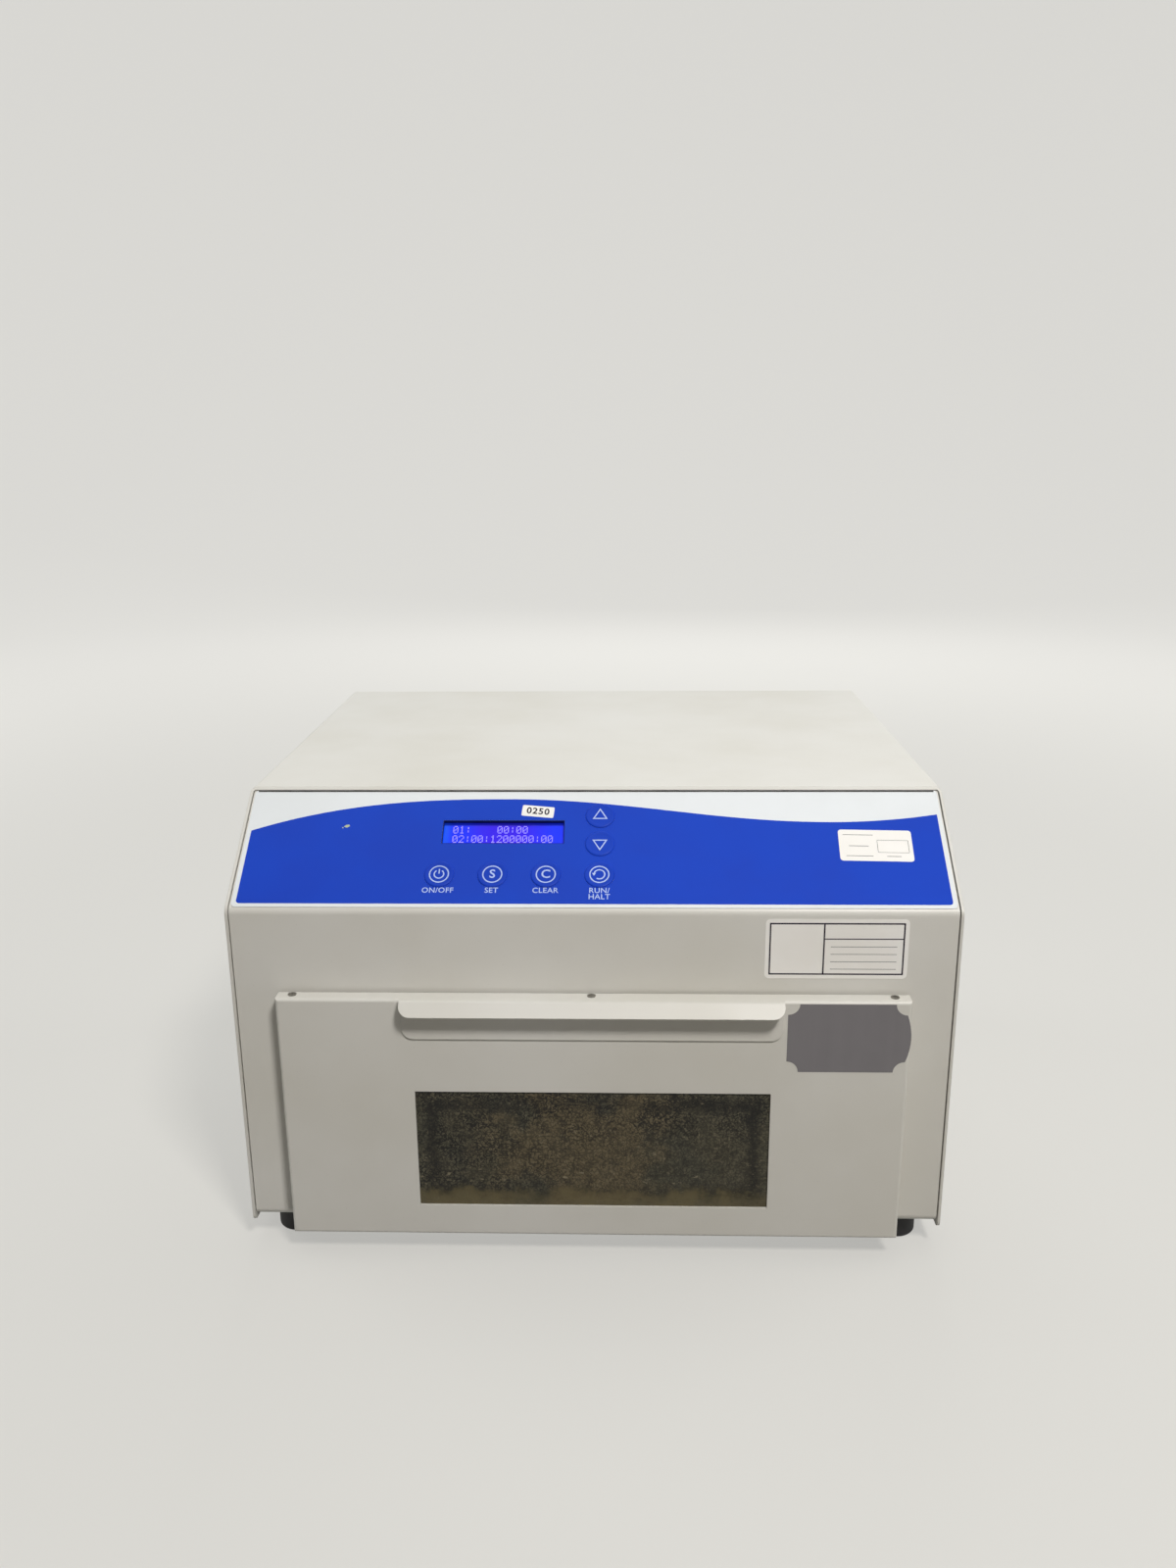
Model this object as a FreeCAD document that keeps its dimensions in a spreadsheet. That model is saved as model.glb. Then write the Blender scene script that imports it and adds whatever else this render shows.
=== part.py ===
# Bench ultraviolet exposure chamber: a sheet steel casing with a sloping control panel,
# a drop-down front door with a window, and a bright chamber under five tube lamps.
# Millimetres. X runs left to right, Y from front to rear, Z up from the bench.
import FreeCAD, Part
import math
import os
import Sketcher

Vector = FreeCAD.Vector
Rotation = FreeCAD.Rotation

# Driving sizes, each one free to change by itself
SIZES = {
    # casing, seen from outside
    "casing_wide": 404.0,
    "casing_deep": 347.0,
    "casing_tall": 249.0,
    "slope_run": 67.2,          # sloping panel, level distance
    "slope_rise": 51.4,         # sloping panel, height
    "cover_gauge": 1.5,         # steel of the outer cover
    "cover_bend": 3.0,          # outer radius of the long top bends
    "cover_corner": 4.0,        # rounding of the cover's bottom corners
    "cover_flange": 13.0,       # return of the cover around the rear
    "nose_bend": 6.0,           # radius where the slope meets the upright front
    "panel_gauge": 1.2,         # steel of the front and rear panels and the base
    "panel_inset": 0.8,         # panel face behind the cover's edge
    "panel_gap": 0.6,           # dark line between panel and cover
    "panel_lift": 4.0,          # panel bottom above the cover's bottom edge
    "panel_return": 18.0,       # bottom flange of the front panel
    "panel_bend": 4.0,          # radius of that flange's bend
    "pan_wall": 20.0,           # upturned edge of the base pan
    # feet
    "foot_tall": 15.0,          # cover's bottom edge above the bench
    "foot_radius": 12.5,
    "foot_side": 21.5,          # foot centre from the cover's side
    "foot_front": 24.0,         # foot centre from the front face
    "foot_rear": 32.0,
    "foot_rounding": 1.6,
    "foot_bore_radius": 5.0,
    "foot_bore_deep": 8.0,
    "foot_screw_radius": 2.0,
    "foot_screw_head": 4.2,
    "foot_screw_head_tall": 3.0,
    "foot_nut_radius": 3.8,
    "foot_nut_tall": 3.2,
    # chamber
    "mouth_lip": 3.0,           # mouth's side edge inside the chamber's wall
    "mouth_sill": 12.0,         # mouth bottom above the cover's bottom edge
    "mouth_tall": 126.0,
    "chamber_deep": 255.0,
    "chamber_head": 12.6,       # bend of the front panel above the chamber
    "liner_gauge": 1.0,
    "rail_wide": 24.0,
    "rail_spread": 220.0,       # distance between the two support rails
    # lamps
    "lamp_count": 5,
    "lamp_radius": 8.0,
    "lamp_long": 288.0,
    "lamp_margin": 15.0,        # room in front of and behind the lamps' rows
    "lamp_drop": 22.0,          # lamp axis below the chamber ceiling
    "cap_long": 11.0,
    "cap_wall": 0.6,
    "lamp_pin_radius": 1.18,
    "lamp_pin_long": 7.2,
    "lamp_pin_pitch": 5.0,
    "holder_room": 15.0,        # chamber wall beyond the lamp's end
    "holder_wide": 20.0,
    "holder_drop": 11.0,        # holder reaches this far below the lamp axis
    "holder_bore": 4.6,         # round seat for the two pins
    "reflector_gauge": 0.8,
    "reflector_gap": 8.0,       # reflector below the ceiling
    "reflector_lip": 9.0,
    # light sensor
    "sensor_radius": 9.0,
    "sensor_long": 8.0,
    "sensor_lens_radius": 6.0,
    "sensor_height": 70.0,
    # door
    "door_side": 4.0,           # door's side edge beyond the catches
    "door_head": 11.3,          # door's top above the mouth
    "door_reach": 10.5,         # door face in front of the casing
    "door_gauge": 1.2,
    "door_bend": 1.8,
    "door_gap": 1.5,            # air between door and casing
    "window_wide": 199.5,
    "window_tall": 73.2,
    "window_sill": 19.6,
    "pane_thick": 3.0,
    "pane_margin": 7.5,
    "retainer_gauge": 1.0,
    "retainer_rim": 3.0,        # retainer beyond the pane
    "door_screw_side": 8.5,     # screw centre from the door's side
    "door_screw_radius": 1.4,
    "door_screw_head": 2.4,
    "door_screw_head_tall": 0.7,
    "door_screw_long": 5.5,
    "door_screw_inset": 3.2,    # screw centre in front of the door's rear edge
    # handle
    "handle_wide": 210.5,
    "handle_gauge": 1.0,
    "handle_reach": 10.5,       # lip in front of the door face
    "handle_plate": 23.5,       # back plate below the door's top
    "handle_crest": 1.4,        # handle top above the door's top
    "handle_shelf": 4.5,
    "handle_drop": 7.2,
    "handle_bend": 2.0,
    "handle_corner": 6.5,
    "handle_screw_spread": 150.0,
    # hinge
    "hinge_long": 300.0,
    "hinge_gap": 1.2,           # knuckle behind the door's face sheet
    "hinge_rise": 5.0,          # pin above the cover's bottom edge
    "knuckle_count": 9,
    "knuckle_radius": 2.6,
    "knuckle_gap": 0.4,
    "hinge_pin_radius": 1.2,
    "hinge_play": 0.05,
    "leaf_gauge": 0.8,
    "fixed_leaf_tall": 6.5,
    "door_leaf_tall": 4.4,
    # catches and interlock
    "catch_gap": 1.0,           # catch beside the chamber
    "catch_drop": 10.3,         # catch below the door's top
    "catch_radius": 5.0,
    "catch_long": 9.0,
    "interlock_drop": 21.0,     # plunger below the catch
    "interlock_radius": 2.0,
    "interlock_stroke": 1.0,
    "interlock_wide": 10.0,
    "interlock_deep": 16.0,
    "interlock_tall": 20.0,
    "running_gap": 0.3,
    # overlay, display and keys on the slope
    "overlay_margin": 3.0,      # overlay's side edge inside the casing's side
    "overlay_low": 2.4,         # overlay's lower edge above the bend, up the slope
    "overlay_thick": 0.5,
    "overlay_corner": 2.5,
    "display_x": -51.0,
    "display_up": 52.5,
    "display_wide": 70.0,
    "display_tall": 16.2,
    "display_board_side": 5.0,  # display board beyond the window, each side
    "display_board_end": 9.9,   # the same, above and below
    "display_bezel_side": 3.5,  # bezel beyond the window, each side
    "display_bezel_end": 3.9,   # the same, above and below
    "display_bezel_thick": 5.8,
    "display_glass_thick": 1.6,
    "key_radius": 8.5,
    "key_proud": 1.1,
    "key_travel": 0.5,
    "key_stem_radius": 3.0,
    "key_row_x": -85.3,         # leftmost key of the lower row
    "key_pitch": 29.87,
    "key_row_up": 23.6,
    "arrow_rise": 20.8,         # lower arrow key above the row
    "arrow_pitch": 19.4,
    "board_thick": 1.6,
    "board_left": -102.0,
    "board_right": 22.0,
    "board_low": 12.0,
    "board_high": 76.0,
    "stud_radius": 3.0,
    "switch_side": 6.0,
    "switch_body": 3.5,
    "switch_button_radius": 1.7,
    "switch_button_tall": 1.5,
    # power parts
    "ballast_count": 3,
    "ballast_long": 150.0,
    "ballast_wide": 38.0,
    "ballast_tall": 26.0,
    "ballast_pitch": 50.0,
    "ballast_x": 15.0,
    "ballast_front": 110.0,     # first ballast's front side behind the casing face
    "power_board_wide": 170.0,
    "power_board_x": -45.0,
    "power_board_gap": 10.0,    # board clear of the chamber and of the rear panel
    "power_stud_tall": 6.0,
    "transformer_wide": 45.0,
    "transformer_deep": 38.0,
    "transformer_tall": 32.0,
    "capacitor_radius": 9.0,
    "capacitor_tall": 25.0,
    "relay_wide": 28.0,
    "relay_deep": 12.0,
    "relay_tall": 15.0,
    # mains inlet with fuse drawer
    "inlet_side": 57.0,         # inlet centre from the casing's side
    "inlet_rise": 3.2,          # inlet body above the pan's upturned edge
    "inlet_lip_side": 1.8,      # flange beyond the body
    "inlet_lip_end": 4.0,
    "inlet_flange": 3.5,
    "inlet_wall": 1.4,          # body beyond the socket, each side
    "inlet_body_tall": 48.0,
    "inlet_body_deep": 27.0,
    "socket_wide": 24.6,
    "socket_tall": 16.6,
    "socket_deep": 17.0,
    "socket_raise": 9.0,        # socket centre above the inlet's centre
    "blade_thick": 2.0,
    "blade_tall": 4.0,
    "blade_long": 15.0,
    "blade_spread": 14.0,
    "drawer_wide": 22.0,
    "drawer_tall": 11.0,
    "drawer_face": 0.7,         # drawer's front wall
    "drawer_lower": 15.0,       # drawer centre below the inlet's centre
    "fuse_radius": 2.6,
    "fuse_long": 20.0,
    "fuse_wall": 0.8,
    # rear
    "vent_count": 9,
    "vent_wide": 70.0,
    "vent_tall": 3.6,
    "vent_pitch": 9.0,
    "vent_spread": 150.0,
    "vent_height": 150.0,
    "rear_screw_radius": 1.9,
    "rear_screw_head": 3.4,
    "rear_screw_head_tall": 1.9,
    "rear_screw_long": 8.0,
    "rear_screw_top_spread": 250.0,
    "rear_screw_low": 40.0,
    "rear_screw_high": 208.0,
    "screw_play": 0.15,
    # ribbon cable between the two boards
    "ribbon_wide": 18.0,
    "ribbon_thick": 0.9,
    "ribbon_x": -90.0,
    "ribbon_gap": 4.0,
}

# Places that follow from the sizes
PLACES = {
    "rear_proud": "max(sizes.inlet_flange - sizes.cover_gauge; sizes.rear_screw_head_tall)",
    "front": "(sizes.door_reach + sizes.handle_reach - sizes.casing_deep - rear_proud) / 2",
    "rear": "front + sizes.casing_deep",
    "bottom": "sizes.foot_tall",
    "top": "bottom + sizes.casing_tall",
    "bend": "top - sizes.slope_rise",
    "inner_wide": "sizes.casing_wide - 2 * sizes.cover_gauge",
    "panel_wide": "inner_wide - 2 * sizes.panel_gap",
    "panel_face": "front + sizes.panel_inset",
    "panel_back": "panel_face + sizes.panel_gauge",
    "panel_low": "bottom + sizes.panel_lift",
    "rear_panel_face": "rear - sizes.cover_gauge",
    "rear_panel_back": "rear_panel_face - sizes.panel_gauge",
    "sill": "bottom + sizes.mouth_sill",
    "chamber_wide": "sizes.lamp_long + 2 * sizes.holder_room",
    "mouth_wide": "chamber_wide - 2 * sizes.mouth_lip",
    "chamber_front": "panel_back + sizes.running_gap",
    "chamber_rear": "chamber_front + sizes.chamber_deep",
    "ceiling": "bend - sizes.chamber_head - sizes.liner_gauge",
    "chamber_tall": "ceiling - sill",
    "liner_top": "ceiling + sizes.liner_gauge",
    "lamp_height": "ceiling - sizes.lamp_drop",
    "lamp_pitch": "(sizes.chamber_deep - 2 * sizes.lamp_margin) / sizes.lamp_count",
    "cap_radius": "sizes.lamp_radius + sizes.cap_wall",
    "catch_side": "chamber_wide / 2 + sizes.liner_gauge + sizes.catch_gap + sizes.catch_radius",
    "door_wide": "2 * (catch_side + sizes.catch_radius + sizes.door_side)",
    "door_face": "front - sizes.door_reach",
    "door_back": "front - sizes.door_gap",
    "door_top": "sill + sizes.mouth_tall + sizes.door_head",
    "catch_height": "door_top - sizes.catch_drop",
    "interlock_height": "catch_height - sizes.interlock_drop",
    "door_inside": "door_face + sizes.door_gauge",
    "window_low": "bottom + sizes.window_sill",
    "window_middle": "window_low + sizes.window_tall / 2",
    "retainer_frame": "sizes.pane_margin + sizes.retainer_rim",
    "pin_y": "door_inside + sizes.hinge_gap + sizes.knuckle_radius",
    "pin_z": "bottom + sizes.hinge_rise",
    "door_inner_low": "pin_z + sizes.door_reach - sizes.running_gap",
    "base_under": "panel_low - sizes.panel_gauge",
    "panel_high": "(sizes.slope_rise - sizes.cover_gauge - sizes.running_gap"
                  " + sizes.panel_inset * cos(tilt)) / sin(tilt)",
    "power_board_y": "chamber_rear + sizes.liner_gauge + sizes.power_board_gap",
    "power_board_deep": "rear_panel_back - sizes.power_board_gap - power_board_y",
    "power_board_top": "panel_low + sizes.power_stud_tall + sizes.board_thick",
    "overlay_wide": "sizes.casing_wide - 2 * sizes.overlay_margin",
    "overlay_top": "sizes.overlay_thick - sizes.panel_inset",
    "arrow_low_up": "sizes.key_row_up + sizes.arrow_rise",
    "arrow_high_up": "arrow_low_up + sizes.arrow_pitch",
    "panel_under": "-sizes.panel_inset - sizes.panel_gauge",
    "board_gap": "sizes.display_bezel_thick + sizes.board_thick + 2 * sizes.running_gap",
    "board_face": "panel_under - board_gap",
    "board_under": "board_face - sizes.board_thick",
    "inlet_x": "sizes.casing_wide / 2 - sizes.inlet_side",
    "inlet_body_wide": "sizes.socket_wide + 2 * sizes.inlet_wall",
    "inlet_wide": "inlet_body_wide + 2 * sizes.inlet_lip_side",
    "inlet_tall": "sizes.inlet_body_tall + 2 * sizes.inlet_lip_end",
    "inlet_middle": "base_under + sizes.pan_wall + sizes.inlet_rise + sizes.inlet_body_tall / 2",
    "drawer_deep": "sizes.fuse_long + sizes.fuse_wall + sizes.drawer_face",
    "inlet_face": "rear_panel_face + sizes.inlet_flange",
}
doc = FreeCAD.newDocument("exposure_chamber")
nodes = []


def makeSheet():
    sheet = doc.addObject("Spreadsheet::Sheet", "sizes")
    for row, (word, value) in enumerate(SIZES.items(), 1):
        sheet.set(f"A{row}", word)
        sheet.set(f"B{row}", str(value))
        sheet.setAlias(f"B{row}", word)
    doc.recompute()
    places = doc.addObject("App::VarSet", "places")
    angles = {"tilt": "atan2(sizes.slope_rise; sizes.slope_run)",
              "lip": "atan2(sizes.handle_drop; sizes.handle_reach - sizes.handle_shelf)"}
    for word, formula in angles.items():
        places.addProperty("App::PropertyAngle", word)
        places.setExpression(word, formula)
    for word, formula in PLACES.items():
        places.addProperty("App::PropertyFloat", word)
        places.setExpression(word, formula)
    doc.recompute()
    return sheet, places


sheet, places = makeSheet()


def number(formula):
    """Value of a formula of sheet sizes, now."""
    value = places.evalExpression(str(formula))
    return float(getattr(value, "Value", value))


def count(formula):
    return int(round(number(formula)))


def bind(thing, **formulas):
    for name, formula in formulas.items():
        thing.setExpression(name, str(formula))
    return thing


def place(thing, x, y, z):
    thing.setExpression("Placement.Base.x", str(x))
    thing.setExpression("Placement.Base.y", str(y))
    thing.setExpression("Placement.Base.z", str(z))
    return thing


def node(thing):
    nodes.append(thing)
    return thing


def block(name, x, y, z, wide, deep, tall):
    """Box centred on x, with its front at y and its bottom at z."""
    box = doc.addObject("Part::Box", name)
    bind(box, Length=wide, Width=deep, Height=tall)
    return place(box, f"({x}) - ({wide}) / 2", y, z)


def slopeBlock(name, x, up, out, wide, long, thick):
    """Box on the slope, centred on x and up, with its underside out from the casing's slope."""
    box = doc.addObject("Part::Box", name)
    bind(box, Length=wide, Width=long, Height=thick)
    box.Placement = FreeCAD.Placement(Vector(), Rotation(Vector(1, 0, 0), number("places.tilt")))
    box.setExpression("Placement.Rotation.Angle", "places.tilt")
    return place(box, *slopePoint(f"({x}) - ({wide}) / 2", f"({up}) - ({long}) / 2", out))


def slopePoint(x, up, out):
    y = f"places.front + ({up}) * cos(places.tilt) - ({out}) * sin(places.tilt)"
    z = f"places.bend + ({up}) * sin(places.tilt) + ({out}) * cos(places.tilt)"
    return x, y, z


TURNS = {"x": Rotation(Vector(0, 1, 0), 90), "y": Rotation(Vector(1, 0, 0), -90), "z": Rotation()}


def rod(name, along, radius, long, x, y, z):
    """Round bar from the point x, y, z along +X, +Y or +Z."""
    bar = doc.addObject("Part::Cylinder", name)
    bind(bar, Radius=radius, Height=long)
    bar.Placement = FreeCAD.Placement(Vector(), TURNS[along])
    return place(bar, x, y, z)


def slopeRod(name, radius, long, x, up, out):
    """Round bar standing out from the slope."""
    bar = doc.addObject("Part::Cylinder", name)
    bind(bar, Radius=radius, Height=long)
    bar.Placement = FreeCAD.Placement(Vector(), Rotation(Vector(1, 0, 0), number("places.tilt")))
    bar.setExpression("Placement.Rotation.Angle", "places.tilt")
    return place(bar, *slopePoint(x, up, out))


def fuse(name, shapes):
    joined = doc.addObject("Part::MultiFuse", name)
    joined.Shapes = shapes
    return joined


def group(name, solids):
    """Separate solids that share a node."""
    together = doc.addObject("Part::Compound", name)
    together.Links = solids
    return together


def cut(name, base, tools):
    result = doc.addObject("Part::Cut", name)
    result.Base = base
    result.Tool = tools[0] if len(tools) == 1 else fuse(name + "_tools", tools)
    return result


AXES = {"x": Vector(1, 0, 0), "y": Vector(0, 1, 0), "z": Vector(0, 0, 1)}


def edgesAlong(shape, direction, spots, reach=0.02):
    """Numbers of the straight edges along direction that pass through one of the spots."""
    found = []
    for index, edge in enumerate(shape.Edges, 1):
        if edge.Curve.TypeId != "Part::GeomLine" or edge.Curve.Direction.cross(direction).Length > 1e-4:
            continue
        start = edge.Vertexes[0].Point
        if any((start - spot).cross(direction).Length < reach for spot in spots):
            found.append(index)
    return found


def rounded(name, base, direction, spots, radius):
    """Rounds the edges along direction through the spots, with a radius from the sheet."""
    doc.recompute()
    edges = edgesAlong(base.Shape, direction, spots)
    result = doc.addObject("Part::Fillet", name)
    result.Base = base
    result.Edges = [(edge, number(radius), number(radius)) for edge in edges]
    return result


def point(x, y, z):
    return Vector(number(x), number(y), number(z))


def boxCorners(x, wide, y, deep, z, tall):
    """The eight corners of a box centred on x."""
    spots = []
    for side in (-0.5, 0.5):
        for back in (0, 1):
            for up in (0, 1):
                spots.append(point(f"({x}) + {side} * ({wide})", f"({y}) + {back} * ({deep})",
                                   f"({z}) + {up} * ({tall})"))
    return spots


def roundedBlock(name, along, radius, x, y, z, wide, deep, tall):
    """Box whose four edges along one axis are rounded."""
    box = block(name + "_blank", x, y, z, wide, deep, tall)
    return rounded(name, box, AXES[along], boxCorners(x, wide, y, deep, z, tall), radius)


def bentSheet(name, points, wide, bends):
    """Sheet bent about X: an outline in Y and Z, padded both ways, with its bends rounded.
    bends is a list of (y, z, radius)."""
    body = doc.addObject("PartDesign::Body", name)
    sketch = body.newObject("Sketcher::SketchObject", name + "_outline")
    plane = [part for part in body.Origin.OriginFeatures if part.Role == "YZ_Plane"][0]
    sketch.AttachmentSupport = [(plane, "")]
    sketch.MapMode = "FlatFace"
    corners = [Vector(number(y), number(z), 0) for y, z in points]
    for index, corner in enumerate(corners):
        sketch.addGeometry(Part.LineSegment(corner, corners[(index + 1) % len(corners)]), False)
    for index in range(len(corners)):
        following = (index + 1) % len(corners)
        sketch.addConstraint(Sketcher.Constraint("Coincident", index, 2, following, 1))
    for index, (y, z) in enumerate(points):
        across = sketch.addConstraint(Sketcher.Constraint("DistanceX", -1, 1, index, 1, corners[index].x))
        sketch.setExpression(f"Constraints[{across}]", y)
        upward = sketch.addConstraint(Sketcher.Constraint("DistanceY", -1, 1, index, 1, corners[index].y))
        sketch.setExpression(f"Constraints[{upward}]", z)
    pad = body.newObject("PartDesign::Pad", name + "_pad")
    pad.Profile = (sketch, [""])
    pad.SideType = "Symmetric"
    bind(pad, Length=wide)
    last = pad
    for index, (y, z, radius) in enumerate(bends, 1):
        doc.recompute()
        spot = point("0", y, z)
        edges = edgesAlong(last.Shape, AXES["x"], [spot])
        bend = body.newObject("PartDesign::Fillet", f"{name}_bend_{index}")
        bend.Base = (last, [f"Edge{edge}" for edge in edges])
        bind(bend, Radius=radius)
        last = bend
    body.Tip = last
    return body


def screw(name, along, toward, seat, head_radius, head_tall, shank_radius, shank_long):
    """Screw with its head standing on the seat point, on the side that toward (1 or -1) gives."""
    lows = {"head": "0" if toward > 0 else f"-({head_tall})",
            "shank": f"-({shank_long})" if toward > 0 else "0"}
    sizes = {"head": (head_radius, head_tall), "shank": (shank_radius, shank_long)}
    solids = []
    for piece, low in lows.items():
        start = [f"({value}) + ({low})" if axis == along else value for axis, value in zip("xyz", seat)]
        solids.append(rod(f"{name}_{piece}", along, *sizes[piece], *start))
    return fuse(name, solids)


def roundedSlopeBlock(name, radius, x, up, out, wide, long, thick):
    box = slopeBlock(name + "_blank", x, up, out, wide, long, thick)
    tilt = math.radians(number("places.tilt"))
    spots = [point(*slopePoint(f"({x}) + {side} * ({wide})", f"({up}) + {end} * ({long})", out))
             for side in (-0.5, 0.5) for end in (-0.5, 0.5)]
    return rounded(name, box, Vector(0, -math.sin(tilt), math.cos(tilt)), spots, radius)


def roundedRim(name, base, centre, radius):
    """Rounds the circular edge whose centre is given."""
    doc.recompute()
    rims = [index for index, edge in enumerate(base.Shape.Edges, 1)
            if edge.Curve.TypeId == "Part::GeomCircle" and edge.Curve.Center.isEqual(centre, 0.01)]
    result = doc.addObject("Part::Fillet", name)
    result.Base = base
    result.Edges = [(rim, number(radius), number(radius)) for rim in rims]
    return result


# Casing

REAR_SCREWS = [(f"{side} * (sizes.casing_wide - sizes.cover_flange) / 2", f"places.bottom + {height}")
               for side in (-1, 1) for height in ("sizes.rear_screw_low", "sizes.rear_screw_high")]
REAR_SCREWS += [(f"{side} * sizes.rear_screw_top_spread / 2", "places.top - sizes.cover_flange / 2")
                for side in (-1, 0, 1)]

KEYS = {
    "key_power": ("sizes.key_row_x", "sizes.key_row_up"),
    "key_mode": ("sizes.key_row_x + sizes.key_pitch", "sizes.key_row_up"),
    "key_reset": ("sizes.key_row_x + 2 * sizes.key_pitch", "sizes.key_row_up"),
    "key_start": ("sizes.key_row_x + 3 * sizes.key_pitch", "sizes.key_row_up"),
    "key_up": ("sizes.key_row_x + 3 * sizes.key_pitch", "places.arrow_high_up"),
    "key_down": ("sizes.key_row_x + 3 * sizes.key_pitch", "places.arrow_low_up"),
}


def rearScrewHoles(name):
    radius = "sizes.rear_screw_radius + sizes.screw_play"
    return [rod(f"{name}_hole_{index}", "y", radius, "4 * sizes.cover_gauge", x,
                "places.rear - 3 * sizes.cover_gauge", z)
            for index, (x, z) in enumerate(REAR_SCREWS, 1)]


def makeCover():
    blank = block("outer_cover_blank", "0", "places.front", "places.bottom",
                  "sizes.casing_wide", "sizes.casing_deep", "sizes.casing_tall")
    slope = slopeBlock("outer_cover_slope", "0", "0", "0",
                       "2 * sizes.casing_wide", "2 * sizes.casing_deep", "2 * sizes.slope_rise")
    sloped = cut("outer_cover_sloped", blank, [slope])
    nose = rounded("outer_cover_nose", sloped, AXES["x"], [point("0", "places.front", "places.bend")],
                   "sizes.nose_bend")
    shoulders = rounded("outer_cover_shoulders", nose, AXES["y"],
                        [point(f"{side} * sizes.casing_wide / 2", "0", "places.top") for side in (-1, 1)],
                        "sizes.cover_bend")
    corners = rounded("outer_cover_corners", shoulders, AXES["x"],
                      [point("0", end, "places.bottom") for end in ("places.front", "places.rear")],
                      "sizes.cover_corner")
    inside_deep = "sizes.casing_deep + sizes.casing_tall - sizes.cover_gauge"
    inside = block("outer_cover_inside_blank", "0", "places.front - sizes.casing_tall",
                   "places.bottom - sizes.foot_tall", "places.inner_wide", inside_deep,
                   "sizes.foot_tall + sizes.casing_tall - sizes.cover_gauge")
    ceiling = "places.top - sizes.cover_gauge"
    inside_soft = rounded("outer_cover_inside", inside, AXES["y"],
                          [point(f"{side} * places.inner_wide / 2", "0", ceiling) for side in (-1, 1)],
                          "sizes.cover_bend - sizes.cover_gauge")
    rear_open = block("outer_cover_rear_opening", "0", "places.rear - 2 * sizes.cover_gauge",
                      "places.bottom - sizes.foot_tall", "sizes.casing_wide - 2 * sizes.cover_flange",
                      "4 * sizes.cover_gauge", "sizes.foot_tall + sizes.casing_tall - sizes.cover_flange")
    node(cut("outer_cover", corners, [inside_soft, rear_open] + rearScrewHoles("outer_cover")))


def foldPoint(inset):
    """Where a sheet that lies inset behind the casing's front turns into the slope."""
    return (f"places.front + {inset}",
            f"places.bend - ({inset}) * (1 - sin(places.tilt)) / cos(places.tilt)")


def makeFrontPanel():
    inner = "(sizes.panel_inset + sizes.panel_gauge)"
    outer = "sizes.panel_inset"
    slope_end = [slopePoint("0", "places.panel_high", f"-{depth}")[1:] for depth in (outer, inner)]
    return_back = "places.panel_face + sizes.panel_return"
    low_inside = "places.panel_low + sizes.panel_gauge"
    outline = [("places.panel_face", "places.panel_low"), foldPoint(outer), slope_end[0], slope_end[1],
               foldPoint(inner), ("places.panel_back", low_inside), (return_back, low_inside),
               (return_back, "places.panel_low")]
    bends = [(*foldPoint(outer), "sizes.nose_bend - sizes.panel_inset"),
             (*foldPoint(inner), "sizes.nose_bend - sizes.panel_inset - sizes.panel_gauge"),
             ("places.panel_face", "places.panel_low", "sizes.panel_bend"),
             ("places.panel_back", low_inside, "sizes.panel_bend - sizes.panel_gauge")]
    sheet_metal = bentSheet("front_panel_sheet", outline, "places.panel_wide", bends)
    through = "4 * sizes.panel_gauge"
    mouth = block("front_panel_mouth", "0", "places.panel_face - sizes.panel_gauge", "places.sill",
                  "places.mouth_wide", through, "sizes.mouth_tall")
    window = slopeBlock("front_panel_window", "sizes.display_x", "sizes.display_up",
                        "places.panel_under - sizes.panel_gauge", "sizes.display_wide",
                        "sizes.display_tall", through)
    tools = [mouth, window]
    for name, (x, up) in KEYS.items():
        tools.append(slopeRod(f"front_panel_{name}", "sizes.key_stem_radius + sizes.running_gap",
                              through, x, up, "places.panel_under - sizes.panel_gauge"))
    start = "places.panel_face - sizes.panel_gauge"
    for side in (-1, 1):
        tools.append(rod(f"front_panel_catch_{side + 1}", "y", "sizes.catch_radius", through,
                         f"{side} * places.catch_side", start, "places.catch_height"))
    tools.append(rod("front_panel_interlock", "y", "sizes.interlock_radius + sizes.running_gap", through,
                     "places.catch_side", start, "places.interlock_height"))
    node(cut("front_panel", sheet_metal, tools))


def makeRearPanel():
    tall = "places.top - sizes.cover_gauge - sizes.running_gap - places.base_under"
    plate = block("rear_panel_plate", "0", "places.rear_panel_back", "places.base_under",
                  "places.panel_wide", "sizes.panel_gauge", tall)
    start = "places.rear_panel_back - sizes.panel_gauge"
    through = "3 * sizes.panel_gauge"
    tools = [block("rear_panel_inlet", "places.inlet_x", start,
                   "places.inlet_middle - sizes.inlet_body_tall / 2", "places.inlet_body_wide",
                   through, "sizes.inlet_body_tall")]
    for side in (-1, 1):
        for row in range(count("sizes.vent_count")):
            offset = f"({row} - (sizes.vent_count - 1) / 2) * sizes.vent_pitch"
            tools.append(block(f"rear_panel_vent_{side + 1}_{row}", f"{side} * sizes.vent_spread / 2",
                               start, f"places.bottom + sizes.vent_height + {offset}",
                               "sizes.vent_wide", through, "sizes.vent_tall"))
    node(cut("rear_panel", plate, tools + rearScrewHoles("rear_panel")))


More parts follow.
